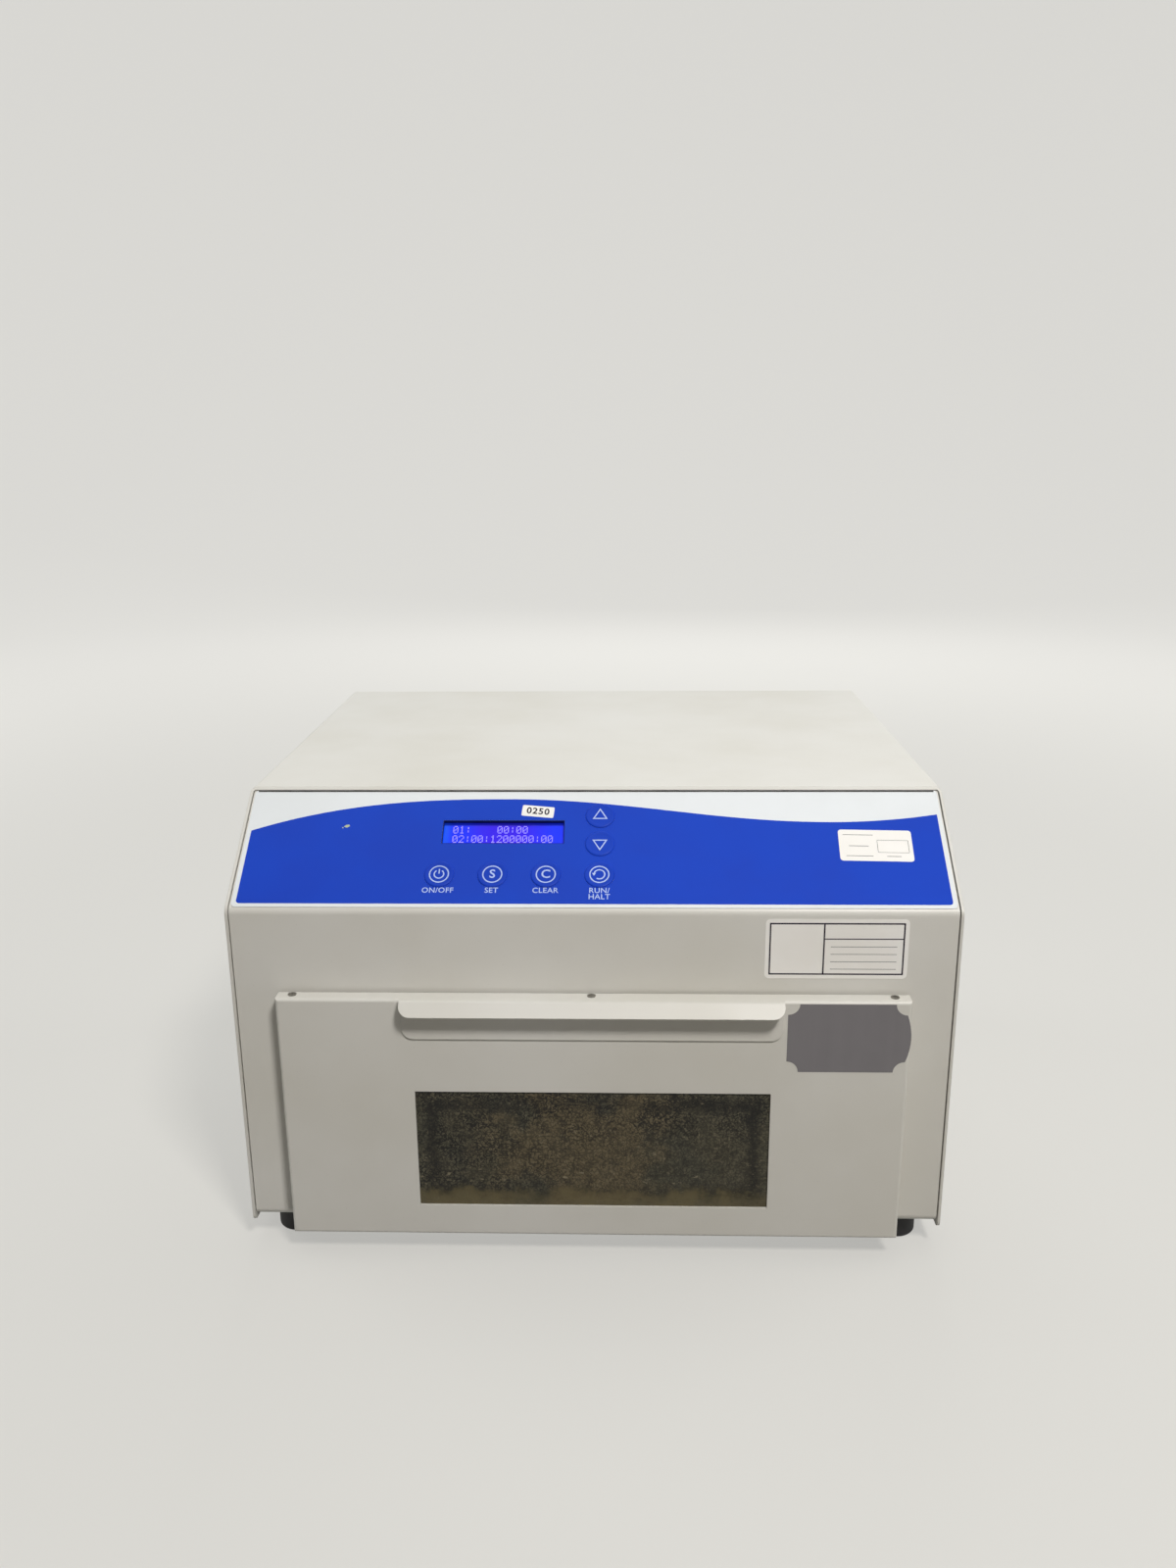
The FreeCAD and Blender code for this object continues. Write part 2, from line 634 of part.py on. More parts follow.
def makeBasePan():
    plate_front = "places.panel_face + sizes.panel_bend"
    plate_deep = f"places.rear_panel_back - ({plate_front})"
    plate = block("base_pan_plate", "0", plate_front, "places.base_under", "places.panel_wide",
                  plate_deep, "sizes.panel_gauge")
    wall_front = "places.panel_face + sizes.panel_return + sizes.running_gap"
    walls = [block(f"base_pan_wall_{side + 1}", f"{side} * (places.panel_wide - sizes.panel_gauge) / 2",
                   wall_front, "places.base_under", "sizes.panel_gauge",
                   f"places.rear_panel_back - ({wall_front})", "sizes.pan_wall") for side in (-1, 1)]
    back = block("base_pan_back", "0", "places.rear_panel_back - sizes.panel_gauge", "places.base_under",
                 "places.panel_wide", "sizes.panel_gauge", "sizes.pan_wall")
    holes = [rod(f"base_pan_hole_{name}", "z", "sizes.foot_screw_radius + sizes.screw_play",
                 "4 * sizes.panel_gauge", x, y, "places.base_under - sizes.panel_gauge")
             for name, (x, y) in FEET.items()]
    node(cut("base_pan", fuse("base_pan_sheet", [plate, *walls, back]), holes))


FEET = {
    f"{end}_{side}": (f"{sign} * (sizes.casing_wide / 2 - sizes.foot_side)", y)
    for end, y in (("front", "places.front + sizes.foot_front"), ("rear", "places.rear - sizes.foot_rear"))
    for side, sign in (("left", -1), ("right", 1))
}


def makeFeet():
    screws = []
    for name, (x, y) in FEET.items():
        body = rod(f"foot_{name}_body", "z", "sizes.foot_radius", "places.base_under", x, y, "0")
        soft = roundedRim(f"foot_{name}_soft", body, point(x, y, "0"), "sizes.foot_rounding")
        bore = rod(f"foot_{name}_bore", "z", "sizes.foot_bore_radius", "sizes.foot_bore_deep", x, y, "0")
        hole = rod(f"foot_{name}_hole", "z", "sizes.foot_screw_radius + sizes.screw_play",
                   "places.base_under", x, y, "0")
        node(cut(f"foot_{name}", soft, [bore, hole]))
        shank = "places.panel_low - sizes.foot_bore_deep + sizes.foot_nut_tall + sizes.running_gap"
        screws.append(screw(f"foot_screw_{name}", "z", -1, (x, y, "sizes.foot_bore_deep"),
                            "sizes.foot_screw_head", "sizes.foot_screw_head_tall",
                            "sizes.foot_screw_radius", shank))
        blank = rod(f"foot_nut_{name}_blank", "z", "sizes.foot_nut_radius", "sizes.foot_nut_tall",
                    x, y, "places.panel_low")
        thread = rod(f"foot_nut_{name}_thread", "z", "sizes.foot_screw_radius", "sizes.foot_nut_tall",
                     x, y, "places.panel_low")
        screws.append(cut(f"foot_nut_{name}", blank, [thread]))
    node(group("foot_screws", screws))


def makeRearScrews():
    node(group("rear_screws", [
        screw(f"rear_screw_{index}", "y", 1, (x, "places.rear", z), "sizes.rear_screw_head",
              "sizes.rear_screw_head_tall", "sizes.rear_screw_radius", "sizes.rear_screw_long")
        for index, (x, z) in enumerate(REAR_SCREWS, 1)]))


# Chamber and lamps

def lampPlace(index):
    return (f"(places.chamber_front + places.chamber_rear) / 2"
            f" + ({index} - (sizes.lamp_count - 1) / 2) * places.lamp_pitch")


def makeLiner():
    shell = block("chamber_liner_shell", "0", "places.chamber_front", "places.sill - sizes.liner_gauge",
                  "places.chamber_wide + 2 * sizes.liner_gauge", "sizes.chamber_deep + sizes.liner_gauge",
                  "places.chamber_tall + 2 * sizes.liner_gauge")
    hollow = block("chamber_liner_hollow", "0", "places.chamber_front - sizes.liner_gauge", "places.sill",
                   "places.chamber_wide", "sizes.chamber_deep + sizes.liner_gauge", "places.chamber_tall")
    node(cut("chamber_liner", shell, [hollow]))
    tall = "places.sill - sizes.liner_gauge - places.panel_low"
    start = "places.panel_face + sizes.panel_return + sizes.running_gap"
    deep = f"places.chamber_rear - ({start})"
    rails = []
    for side in (-1, 1):
        x = f"{side} * sizes.rail_spread / 2"
        outside = block(f"rail_outside_{side + 1}", x, start, "places.panel_low", "sizes.rail_wide",
                        deep, tall)
        inside = block(f"rail_inside_{side + 1}", x, start, "places.panel_low + sizes.panel_gauge",
                       "sizes.rail_wide - 2 * sizes.panel_gauge", deep, f"{tall} - 2 * sizes.panel_gauge")
        rails.append(cut(f"rail_{side + 1}", outside, [inside]))
    node(group("liner_rails", rails))


def makeReflector():
    gauge = "sizes.reflector_gauge"
    front = f"({lampPlace(0)}) - places.lamp_pitch / 2"
    back = f"({lampPlace('sizes.lamp_count - 1')}) + places.lamp_pitch / 2"
    ceiling = "places.ceiling"
    low = f"{ceiling} - sizes.reflector_gap"
    outline = [
        (f"{front} - sizes.reflector_lip", f"{ceiling} - {gauge}"),
        (f"{front} - sizes.reflector_lip", ceiling),
        (f"{front} + {gauge}", ceiling), (f"{front} + {gauge}", low),
        (f"{back} - {gauge}", low), (f"{back} - {gauge}", ceiling),
        (f"{back} + sizes.reflector_lip", ceiling),
        (f"{back} + sizes.reflector_lip", f"{ceiling} - {gauge}"),
        (back, f"{ceiling} - {gauge}"), (back, f"{low} - {gauge}"),
        (front, f"{low} - {gauge}"), (front, f"{ceiling} - {gauge}")]
    node(bentSheet("lamp_reflector", outline, "sizes.lamp_long", []))


def makeLamps():
    caps = []
    pins = []
    holders = []
    cap_wall = "sizes.liner_gauge"
    holder_deep = "((places.chamber_wide - sizes.lamp_long) / 2 - sizes.running_gap)"
    for index in range(count("sizes.lamp_count")):
        y = lampPlace(index)
        node(rod(f"lamp_tube_{index + 1}", "x", "sizes.lamp_radius", f"sizes.lamp_long - 2 * {cap_wall}",
                 f"{cap_wall} - sizes.lamp_long / 2", y, "places.lamp_height"))
        for side in (-1, 1):
            tag = f"{index + 1}_{'left' if side < 0 else 'right'}"
            cap_x = "-sizes.lamp_long / 2" if side < 0 else "sizes.lamp_long / 2 - sizes.cap_long"
            bore_x = f"{cap_wall} - sizes.lamp_long / 2" if side < 0 else cap_x
            outside = rod(f"cap_outside_{tag}", "x", "places.cap_radius", "sizes.cap_long",
                          cap_x, y, "places.lamp_height")
            inside = rod(f"cap_inside_{tag}", "x", "sizes.lamp_radius", f"sizes.cap_long - {cap_wall}",
                         bore_x, y, "places.lamp_height")
            caps.append(cut(f"cap_{tag}", outside, [inside]))
            pin_x = "-sizes.lamp_long / 2 - sizes.lamp_pin_long" if side < 0 else "sizes.lamp_long / 2"
            for across in (-1, 1):
                pins.append(rod(f"pin_{tag}_{across + 1}", "x", "sizes.lamp_pin_radius",
                                "sizes.lamp_pin_long", pin_x,
                                f"{y} + {across} * sizes.lamp_pin_pitch / 2", "places.lamp_height"))
            holders.append(makeHolder(tag, side, y, holder_deep))
    node(group("lamp_caps", caps))
    node(group("lamp_pins", pins))
    node(group("lamp_holders", holders))


def makeHolder(tag, side, y, deep):
    """Lamp socket: a round seat for the pins, and a slot below it that lets them in."""
    low = "places.lamp_height - sizes.holder_drop"
    middle = f"{side} * (places.chamber_wide - {deep}) / 2"
    body = block(f"holder_body_{tag}", middle, f"{y} - sizes.holder_wide / 2", low, deep,
                 "sizes.holder_wide", f"places.ceiling - ({low})")
    seat_deep = "sizes.lamp_pin_long + sizes.running_gap"
    inner = f"places.chamber_wide / 2 - {deep}"
    seat_x = inner if side > 0 else f"-({inner}) - ({seat_deep})"
    seat = rod(f"holder_seat_{tag}", "x", "sizes.holder_bore", seat_deep, seat_x, y, "places.lamp_height")
    slot = block(f"holder_slot_{tag}", f"{side} * ({inner} + ({seat_deep}) / 2)",
                 f"{y} - sizes.lamp_pin_radius - sizes.running_gap", low, seat_deep,
                 "2 * (sizes.lamp_pin_radius + sizes.running_gap)", "sizes.holder_drop")
    return cut(f"holder_{tag}", body, [seat, slot])


def makeSensor():
    lens_deep = "sizes.liner_gauge"
    start = "places.chamber_rear - sizes.sensor_long"
    height = "places.sill + sizes.sensor_height"
    body = rod("sensor_body", "y", "sizes.sensor_radius", "sizes.sensor_long", "0", start, height)
    recess = rod("sensor_recess", "y", "sizes.sensor_lens_radius", lens_deep, "0", start, height)
    node(cut("sensor_housing", body, [recess]))
    node(rod("sensor_lens", "y", "sizes.sensor_lens_radius", lens_deep, "0", start, height))


# Door

DOOR_SCREWS = [f"{side} * (places.door_wide / 2 - sizes.door_screw_side)" for side in (-1, 0, 1)]
HANDLE_SCREWS = [f"{side} * sizes.handle_screw_spread / 2" for side in (-1, 0, 1)]
DOOR_SCREW_Y = "places.door_back - sizes.door_screw_inset"
HANDLE_SCREW_Z = "places.door_top - sizes.handle_plate / 2"


def windowTool(name, y, deep):
    return block(name, "0", y, "places.window_low", "sizes.window_wide", deep, "sizes.window_tall")


def makeDoorSkin():
    deep = "sizes.door_reach - sizes.door_gap"
    tall = "(places.door_top - places.bottom)"
    blank = block("door_skin_blank", "0", "places.door_face", "places.bottom", "places.door_wide", deep,
                  tall)
    doc.recompute()
    face_y = number("places.door_face")
    edges = [index for index, edge in enumerate(blank.Shape.Edges, 1)
             if all(abs(corner.Point.y - face_y) < 0.01 for corner in edge.Vertexes)]
    soft = doc.addObject("Part::Fillet", "door_skin_soft")
    soft.Base = blank
    soft.Edges = [(edge, number("sizes.door_bend"), number("sizes.door_bend")) for edge in edges]
    inside = block("door_skin_inside", "0", "places.door_inside", "places.bottom + sizes.door_gauge",
                   "places.door_wide - 2 * sizes.door_gauge", "sizes.door_reach",
                   f"{tall} - 2 * sizes.door_gauge")
    relief = block("door_skin_relief", "0", "places.pin_y - sizes.door_gauge",
                   "places.bottom - sizes.hinge_rise", "2 * places.door_wide", "sizes.door_reach",
                   "2 * sizes.hinge_rise")
    window = windowTool("door_skin_window", "places.door_face - sizes.door_gauge", "4 * sizes.door_gauge")
    tools = [inside, relief, window]
    for index, x in enumerate(DOOR_SCREWS, 1):
        tools.append(rod(f"door_skin_top_{index}", "z", "sizes.door_screw_radius + sizes.screw_play",
                         "4 * sizes.door_gauge", x, DOOR_SCREW_Y, "places.door_top - 2 * sizes.door_gauge"))
    for index, x in enumerate(HANDLE_SCREWS, 1):
        tools.append(rod(f"door_skin_front_{index}", "y", "sizes.door_screw_radius + sizes.screw_play",
                         "4 * sizes.door_gauge", x, "places.door_face - sizes.door_gauge", HANDLE_SCREW_Z))
    node(cut("door_skin", soft, tools))


def makeDoorInner():
    back = "places.door_back"
    low = "places.door_inner_low"
    high = "places.door_top - sizes.door_gauge"
    front = "places.door_inside + sizes.door_gauge"
    outline = [(back, low), (back, high), (front, high), (front, f"{high} - sizes.door_gauge"),
               (f"{back} - sizes.door_gauge", f"{high} - sizes.door_gauge"),
               (f"{back} - sizes.door_gauge", low)]
    bends = [(back, high, "sizes.door_bend")]
    wide = "places.door_wide - 2 * sizes.door_gauge - 2 * sizes.running_gap"
    sheet_metal = bentSheet("door_inner_sheet", outline, wide, bends)
    tools = [windowTool("door_inner_window", f"{back} - 2 * sizes.door_gauge", "4 * sizes.door_gauge")]
    for index, x in enumerate(DOOR_SCREWS, 1):
        tools.append(rod(f"door_inner_top_{index}", "z", "sizes.door_screw_radius + sizes.screw_play",
                         "4 * sizes.door_gauge", x, DOOR_SCREW_Y, "places.door_top - 4 * sizes.door_gauge"))
    node(cut("door_inner_panel", sheet_metal, tools))


def makeWindow():
    margin = "sizes.pane_margin"
    node(block("window_pane", "0", "places.door_inside", f"places.window_low - {margin}",
               f"sizes.window_wide + 2 * {margin}", "sizes.pane_thick", f"sizes.window_tall + 2 * {margin}"))
    frame = "places.retainer_frame"
    seat = "places.door_inside + sizes.pane_thick"
    outside = block("window_retainer_outside", "0", seat, f"places.window_low - {frame}",
                    f"sizes.window_wide + 2 * {frame}", "sizes.retainer_gauge",
                    f"sizes.window_tall + 2 * {frame}")
    node(cut("window_retainer", outside, [windowTool("window_retainer_hole", seat, "sizes.retainer_gauge")]))
    reach = "(sizes.pane_margin + places.retainer_frame) / 2"
    radius = "(places.retainer_frame - sizes.pane_margin) / 2 - sizes.screw_play"
    posts = []
    for side in (-1, 1):
        for end in (-1, 1):
            posts.append(rod(f"retainer_post_{side + 1}_{end + 1}", "y", radius, "sizes.pane_thick",
                             f"{side} * (sizes.window_wide / 2 + {reach})", "places.door_inside",
                             f"places.window_middle + {end} * (sizes.window_tall / 2 + {reach})"))
    node(group("retainer_posts", posts))


def makeHandle():
    face = "places.door_face"
    gauge = "sizes.handle_gauge"
    low = "places.door_top - sizes.handle_plate"
    high = "places.door_top + sizes.handle_crest"
    shelf = f"{face} - sizes.handle_shelf"
    tip = (f"{face} - sizes.handle_reach", f"{high} - sizes.handle_drop")
    tip_inside = (f"{tip[0]} + {gauge} * sin(places.lip)", f"{tip[1]} - {gauge} * cos(places.lip)")
    shelf_inside = (f"{shelf} + {gauge} * tan(places.lip / 2)", f"{high} - {gauge}")
    root_inside = (f"{face} - {gauge}", f"{high} - {gauge}")
    outline = [(face, low), (face, high), (shelf, high), tip, tip_inside, shelf_inside, root_inside,
               (f"{face} - {gauge}", low)]
    inner_bend = f"sizes.handle_bend - {gauge}"
    bends = [(face, high, "sizes.handle_bend"), (*root_inside, inner_bend),
             (shelf, high, "sizes.handle_bend"), (*shelf_inside, inner_bend)]
    strip = bentSheet("handle_strip", outline, "sizes.handle_wide", bends)
    plate_spots = [point(f"{side} * sizes.handle_wide / 2", "0", low) for side in (-1, 1)]
    soft = rounded("handle_plate_soft", strip, AXES["y"], plate_spots, "sizes.handle_corner")
    lip = math.radians(number("places.lip"))
    tip_spots = [point(f"{side} * sizes.handle_wide / 2", *tip) for side in (-1, 1)]
    rims = rounded("handle_rims", soft, Vector(0, math.sin(lip), -math.cos(lip)), tip_spots,
                   "sizes.handle_corner")
    blind = f"{gauge} / 2"
    holes = [rod(f"handle_hole_{index}", "y", "sizes.door_screw_radius + sizes.screw_play", blind, x,
                 f"{face} - {blind}", HANDLE_SCREW_Z) for index, x in enumerate(HANDLE_SCREWS, 1)]
    node(cut("handle", rims, holes))
    node(group("handle_screws", [
        screw(f"handle_screw_{index}", "y", 1, (x, "places.door_inside", HANDLE_SCREW_Z),
              "sizes.door_screw_head", "sizes.door_screw_head_tall", "sizes.door_screw_radius",
              f"sizes.door_gauge + {blind}") for index, x in enumerate(HANDLE_SCREWS, 1)]))


def makeDoorScrews():
    node(group("door_screws", [
        screw(f"door_screw_{index}", "z", 1, (x, DOOR_SCREW_Y, "places.door_top"), "sizes.door_screw_head",
              "sizes.door_screw_head_tall", "sizes.door_screw_radius", "sizes.door_screw_long")
        for index, x in enumerate(DOOR_SCREWS, 1)]))


def makeHinge():
    """Long pin hinge: knuckles in turn on the casing's leaf and on the door's leaf."""
    pitch = "sizes.hinge_long / sizes.knuckle_count"
    leaf_low = "places.pin_z - sizes.leaf_gauge / 2"
    plates = {"hinge_fixed_leaf": ("places.panel_face - sizes.leaf_gauge", "sizes.fixed_leaf_tall"),
              "hinge_door_leaf": ("places.door_inside", "sizes.door_leaf_tall")}
    for turn, (name, (plate_y, tall)) in enumerate(plates.items()):
        solids = [block(f"{name}_plate", "0", plate_y, leaf_low, "sizes.hinge_long", "sizes.leaf_gauge",
                        tall)]
        for index in range(turn, count("sizes.knuckle_count"), 2):
            x = f"({index} + 0.5) * {pitch} - sizes.hinge_long / 2"
            long = f"({pitch} - sizes.knuckle_gap)"
            solids.append(rod(f"{name}_knuckle_{index}", "x", "sizes.knuckle_radius", long,
                              f"{x} - {long} / 2", "places.pin_y", "places.pin_z"))
            start = "places.pin_y" if turn == 0 else plate_y
            deep = f"{plate_y} - places.pin_y" if turn == 0 else f"places.pin_y - {plate_y}"
            solids.append(block(f"{name}_tongue_{index}", x, start, leaf_low, long, deep,
                                "sizes.leaf_gauge"))
        bore = rod(f"{name}_bore", "x", "sizes.hinge_pin_radius + sizes.hinge_play", "sizes.hinge_long",
                   "-sizes.hinge_long / 2", "places.pin_y", "places.pin_z")
        node(cut(name, fuse(f"{name}_blank", solids), [bore]))
    node(rod("hinge_pin", "x", "sizes.hinge_pin_radius", "sizes.hinge_long", "-sizes.hinge_long / 2",
             "places.pin_y", "places.pin_z"))


def makeCatches():
    front = "places.door_back + sizes.running_gap"
    node(group("catch_magnets", [
        rod(f"catch_magnet_{side + 1}", "y", "sizes.catch_radius", "sizes.catch_long",
            f"{side} * places.catch_side", front, "places.catch_height") for side in (-1, 1)]))
    height = "places.interlock_height"
    node(rod("interlock_plunger", "y", "sizes.interlock_radius", "sizes.catch_long", "places.catch_side",
             front, height))
    body = block("interlock_body", "places.catch_side", "places.panel_back",
                 f"{height} - sizes.interlock_tall / 2", "sizes.interlock_wide", "sizes.interlock_deep",
                 "sizes.interlock_tall")
    reach = f"{front} + sizes.catch_long + sizes.interlock_stroke + sizes.running_gap - places.panel_back"
    bore = rod("interlock_bore", "y", "sizes.interlock_radius + sizes.running_gap", reach,
               "places.catch_side", "places.panel_back", height)
    node(cut("interlock_switch", body, [bore]))


# Control panel

def makeOverlay():
    long = "places.panel_high - sizes.overlay_low - sizes.overlay_thick"
    sheet_film = roundedSlopeBlock("overlay_film", "sizes.overlay_corner", "0",
                                   f"sizes.overlay_low + ({long}) / 2", "-sizes.panel_inset",
                                   "places.overlay_wide", long, "sizes.overlay_thick")
    under = "-sizes.panel_inset - sizes.overlay_thick"
    through = "3 * sizes.overlay_thick"
    tools = [slopeBlock("overlay_window", "sizes.display_x", "sizes.display_up", under,
                        "sizes.display_wide", "sizes.display_tall", through)]
    for name, (x, up) in KEYS.items():
        tools.append(slopeRod(f"overlay_{name}", "sizes.key_radius + sizes.running_gap", through,
                              x, up, under))
    node(cut("control_overlay", sheet_film, tools))


def makeKeys():
    """Each key is a domed cap over a stem that reaches down to its switch."""
    cap_low = "sizes.key_travel + sizes.screw_play - sizes.panel_inset"
    cap_tall = f"places.overlay_top + sizes.key_proud - ({cap_low})"
    switch_top = "places.board_face + sizes.switch_body + sizes.switch_button_tall"
    stem_low = f"{switch_top} + sizes.key_travel + sizes.screw_play"
    switches = []
    for name, (x, up) in KEYS.items():
        cap = slopeRod(f"{name}_cap", "sizes.key_radius", cap_tall, x, up, cap_low)
        crown = point(*slopePoint(x, up, "places.overlay_top + sizes.key_proud"))
        soft = roundedRim(f"{name}_soft", cap, crown, "sizes.key_proud * 0.8")
        stem = slopeRod(f"{name}_stem", "sizes.key_stem_radius", f"{cap_low} - ({stem_low})", x, up, stem_low)
        node(fuse(name, [soft, stem]))
        body = slopeBlock(f"{name}_switch_body", x, up, "places.board_face", "sizes.switch_side",
                          "sizes.switch_side", "sizes.switch_body")
        button = slopeRod(f"{name}_switch_button", "sizes.switch_button_radius", "sizes.switch_button_tall",
                          x, up, "places.board_face + sizes.switch_body")
        switches.append(fuse(f"{name}_switch", [body, button]))
    node(group("key_switches", switches))


def makeDisplay():
    x, up = "sizes.display_x", "sizes.display_up"
    front = "places.panel_under - sizes.running_gap"
    back = f"{front} - sizes.display_bezel_thick"
    frame = slopeBlock("display_bezel_frame", x, up, back,
                       "sizes.display_wide + 2 * sizes.display_bezel_side",
                       "sizes.display_tall + 2 * sizes.display_bezel_end", "sizes.display_bezel_thick")
    glass_low = f"{front} - sizes.display_glass_thick - sizes.running_gap"
    glass_wide = "sizes.display_wide + 2 * sizes.panel_gauge"
    glass_tall = "sizes.display_tall + 2 * sizes.panel_gauge"
    pocket = slopeBlock("display_bezel_pocket", x, up, glass_low, glass_wide, glass_tall,
                        "sizes.display_bezel_thick")
    node(cut("display_bezel", frame, [pocket]))
    node(slopeBlock("display_glass", x, up, glass_low, glass_wide, glass_tall, "sizes.display_glass_thick"))
    node(slopeBlock("display_board", x, up, f"{back} - sizes.board_thick",
                    "sizes.display_wide + 2 * sizes.display_board_side",
                    "sizes.display_tall + 2 * sizes.display_board_end", "sizes.board_thick"))


def makeControlBoard():
    x = "(sizes.board_left + sizes.board_right) / 2"
    up = "(sizes.board_low + sizes.board_high) / 2"
    wide = "sizes.board_right - sizes.board_left"
    long = "sizes.board_high - sizes.board_low"
    node(slopeBlock("control_board", x, up, "places.board_under", wide, long, "sizes.board_thick"))
    studs = []
    edge = "1.5 * sizes.stud_radius"
    for side in (-1, 1):
        for end in (-1, 1):
            studs.append(slopeRod(f"panel_stud_{side + 1}_{end + 1}", "sizes.stud_radius", "places.board_gap",
                                  f"{x} + {side} * (({wide}) / 2 - {edge})",
                                  f"{up} + {end} * (({long}) / 2 - {edge})", "places.board_face"))
            studs.append(rod(f"pan_stud_{side + 1}_{end + 1}", "z", "sizes.stud_radius",
                             "sizes.power_stud_tall",
                             f"sizes.power_board_x + {side} * (sizes.power_board_wide / 2 - {edge})",
                             f"places.power_board_y + places.power_board_deep / 2"
                             f" + {end} * (places.power_board_deep / 2 - {edge})",
                             "places.panel_low"))
    node(group("board_studs", studs))


# Power parts

def makePowerParts():
    for_ballasts = []
    for index in range(count("sizes.ballast_count")):
        y = f"places.front + sizes.ballast_front + {index} * sizes.ballast_pitch"
        for_ballasts.append(roundedBlock(f"ballast_{index + 1}", "x", "sizes.cover_bend", "sizes.ballast_x",
                                         y, "places.liner_top", "sizes.ballast_long",
                                         "sizes.ballast_wide", "sizes.ballast_tall"))
    node(group("ballasts", for_ballasts))
    node(block("power_board", "sizes.power_board_x", "places.power_board_y",
               "places.panel_low + sizes.power_stud_tall", "sizes.power_board_wide",
               "places.power_board_deep", "sizes.board_thick"))
    top = "places.power_board_top"
    middle = "places.power_board_y + places.power_board_deep / 2"
    quarter = "sizes.power_board_wide / 4"
    parts = [block("transformer", f"sizes.power_board_x + {quarter}",
                   f"{middle} - sizes.transformer_deep / 2", top, "sizes.transformer_wide",
                   "sizes.transformer_deep", "sizes.transformer_tall")]
    for side in (-1, 1):
        parts.append(rod(f"capacitor_{side + 1}", "z", "sizes.capacitor_radius", "sizes.capacitor_tall",
                         f"sizes.power_board_x - sizes.capacitor_radius / 2",
                         f"{middle} + {side} * 1.3 * sizes.capacitor_radius", top))
    parts.append(block("relay", f"sizes.power_board_x - {quarter}", f"{middle} - sizes.relay_deep / 2", top,
                       "sizes.relay_wide", "sizes.relay_deep", "sizes.relay_tall"))
    node(group("power_parts", parts))


def makeRibbon():
    thick = "sizes.ribbon_thick"
    start = "places.power_board_y + sizes.ribbon_gap"
    level = "places.liner_top + sizes.ribbon_gap"
    _, end, end_height = slopePoint("0", "(sizes.board_low + sizes.board_high) / 2", "places.board_under")
    high = f"{end_height} - sizes.running_gap"
    low = "places.power_board_top"
    outline = [(start, low), (f"{start} + {thick}", low), (f"{start} + {thick}", f"{level} + {thick}"),
               (f"{end} + {thick}", f"{level} + {thick}"), (f"{end} + {thick}", high), (end, high),
               (end, level), (start, level)]
    bend = "sizes.ribbon_gap"
    bends = [(start, level, bend), (f"{start} + {thick}", f"{level} + {thick}", f"{bend} + {thick}"),
             (end, level, f"{bend} + {thick}"), (f"{end} + {thick}", f"{level} + {thick}", bend)]
    ribbon = bentSheet("ribbon_cable", outline, "sizes.ribbon_wide", bends)
    ribbon.setExpression("Placement.Base.x", "sizes.ribbon_x")
    node(ribbon)


def makeInlet():
    x = "places.inlet_x"
    flange = roundedBlock("inlet_flange_plate", "y", "sizes.cover_bend", x, "places.rear_panel_face",
                          "places.inlet_middle - places.inlet_tall / 2", "places.inlet_wide",
                          "sizes.inlet_flange", "places.inlet_tall")
    body = block("inlet_body", x, "places.rear_panel_face - sizes.inlet_body_deep",
                 "places.inlet_middle - sizes.inlet_body_tall / 2", "places.inlet_body_wide",
                 "sizes.inlet_body_deep", "sizes.inlet_body_tall")
    socket_middle = "places.inlet_middle + sizes.socket_raise"
    socket_floor = "places.inlet_face - sizes.socket_deep"
    socket = roundedBlock("inlet_socket", "y", "sizes.blade_tall / 2", x, socket_floor,
                          f"{socket_middle} - sizes.socket_tall / 2", "sizes.socket_wide",
                          "2 * sizes.socket_deep", "sizes.socket_tall")
    gap = "sizes.running_gap"
    drawer_middle = "places.inlet_middle - sizes.drawer_lower"
    bay = block("inlet_drawer_bay", x, f"places.inlet_face - places.drawer_deep - {gap}",
                f"{drawer_middle} - sizes.drawer_tall / 2 - {gap}", f"sizes.drawer_wide + 2 * {gap}",
                "2 * places.drawer_deep", f"sizes.drawer_tall + 2 * {gap}")
    node(cut("power_inlet", fuse("inlet_blank", [flange, body]), [socket, bay]))
    blades = []
    for index, (side, low) in enumerate(((-1, "-sizes.blade_tall"), (0, "0"), (1, "-sizes.blade_tall"))):
        blades.append(block(f"inlet_blade_{index}", f"{x} + {side} * sizes.blade_spread / 2", socket_floor,
                            f"{socket_middle} + {low}", "sizes.blade_thick", "sizes.blade_long",
                            "sizes.blade_tall"))
    node(group("inlet_blades", blades))
    drawer_low = f"{drawer_middle} - sizes.drawer_tall / 2"
    solid = block("fuse_drawer_solid", x, "places.inlet_face - places.drawer_deep", drawer_low,
                  "sizes.drawer_wide", "places.drawer_deep", "sizes.drawer_tall")
    wells = []
    fuses = []
    for side in (-1, 1):
        fuse_x = f"{x} + {side} * sizes.drawer_wide / 4"
        start = f"places.inlet_face - places.drawer_deep + sizes.fuse_wall"
        well_low = f"{drawer_low} + sizes.fuse_wall"
        wells.append(block(f"fuse_well_{side + 1}", fuse_x, start, well_low, "2 * sizes.fuse_radius",
                           "sizes.fuse_long", "sizes.drawer_tall"))
        fuses.append(rod(f"fuse_{side + 1}", "y", "sizes.fuse_radius - sizes.screw_play", "sizes.fuse_long",
                         fuse_x, start, f"{well_low} + sizes.fuse_radius"))
    node(cut("fuse_drawer", solid, wells))
    node(group("fuses", fuses))


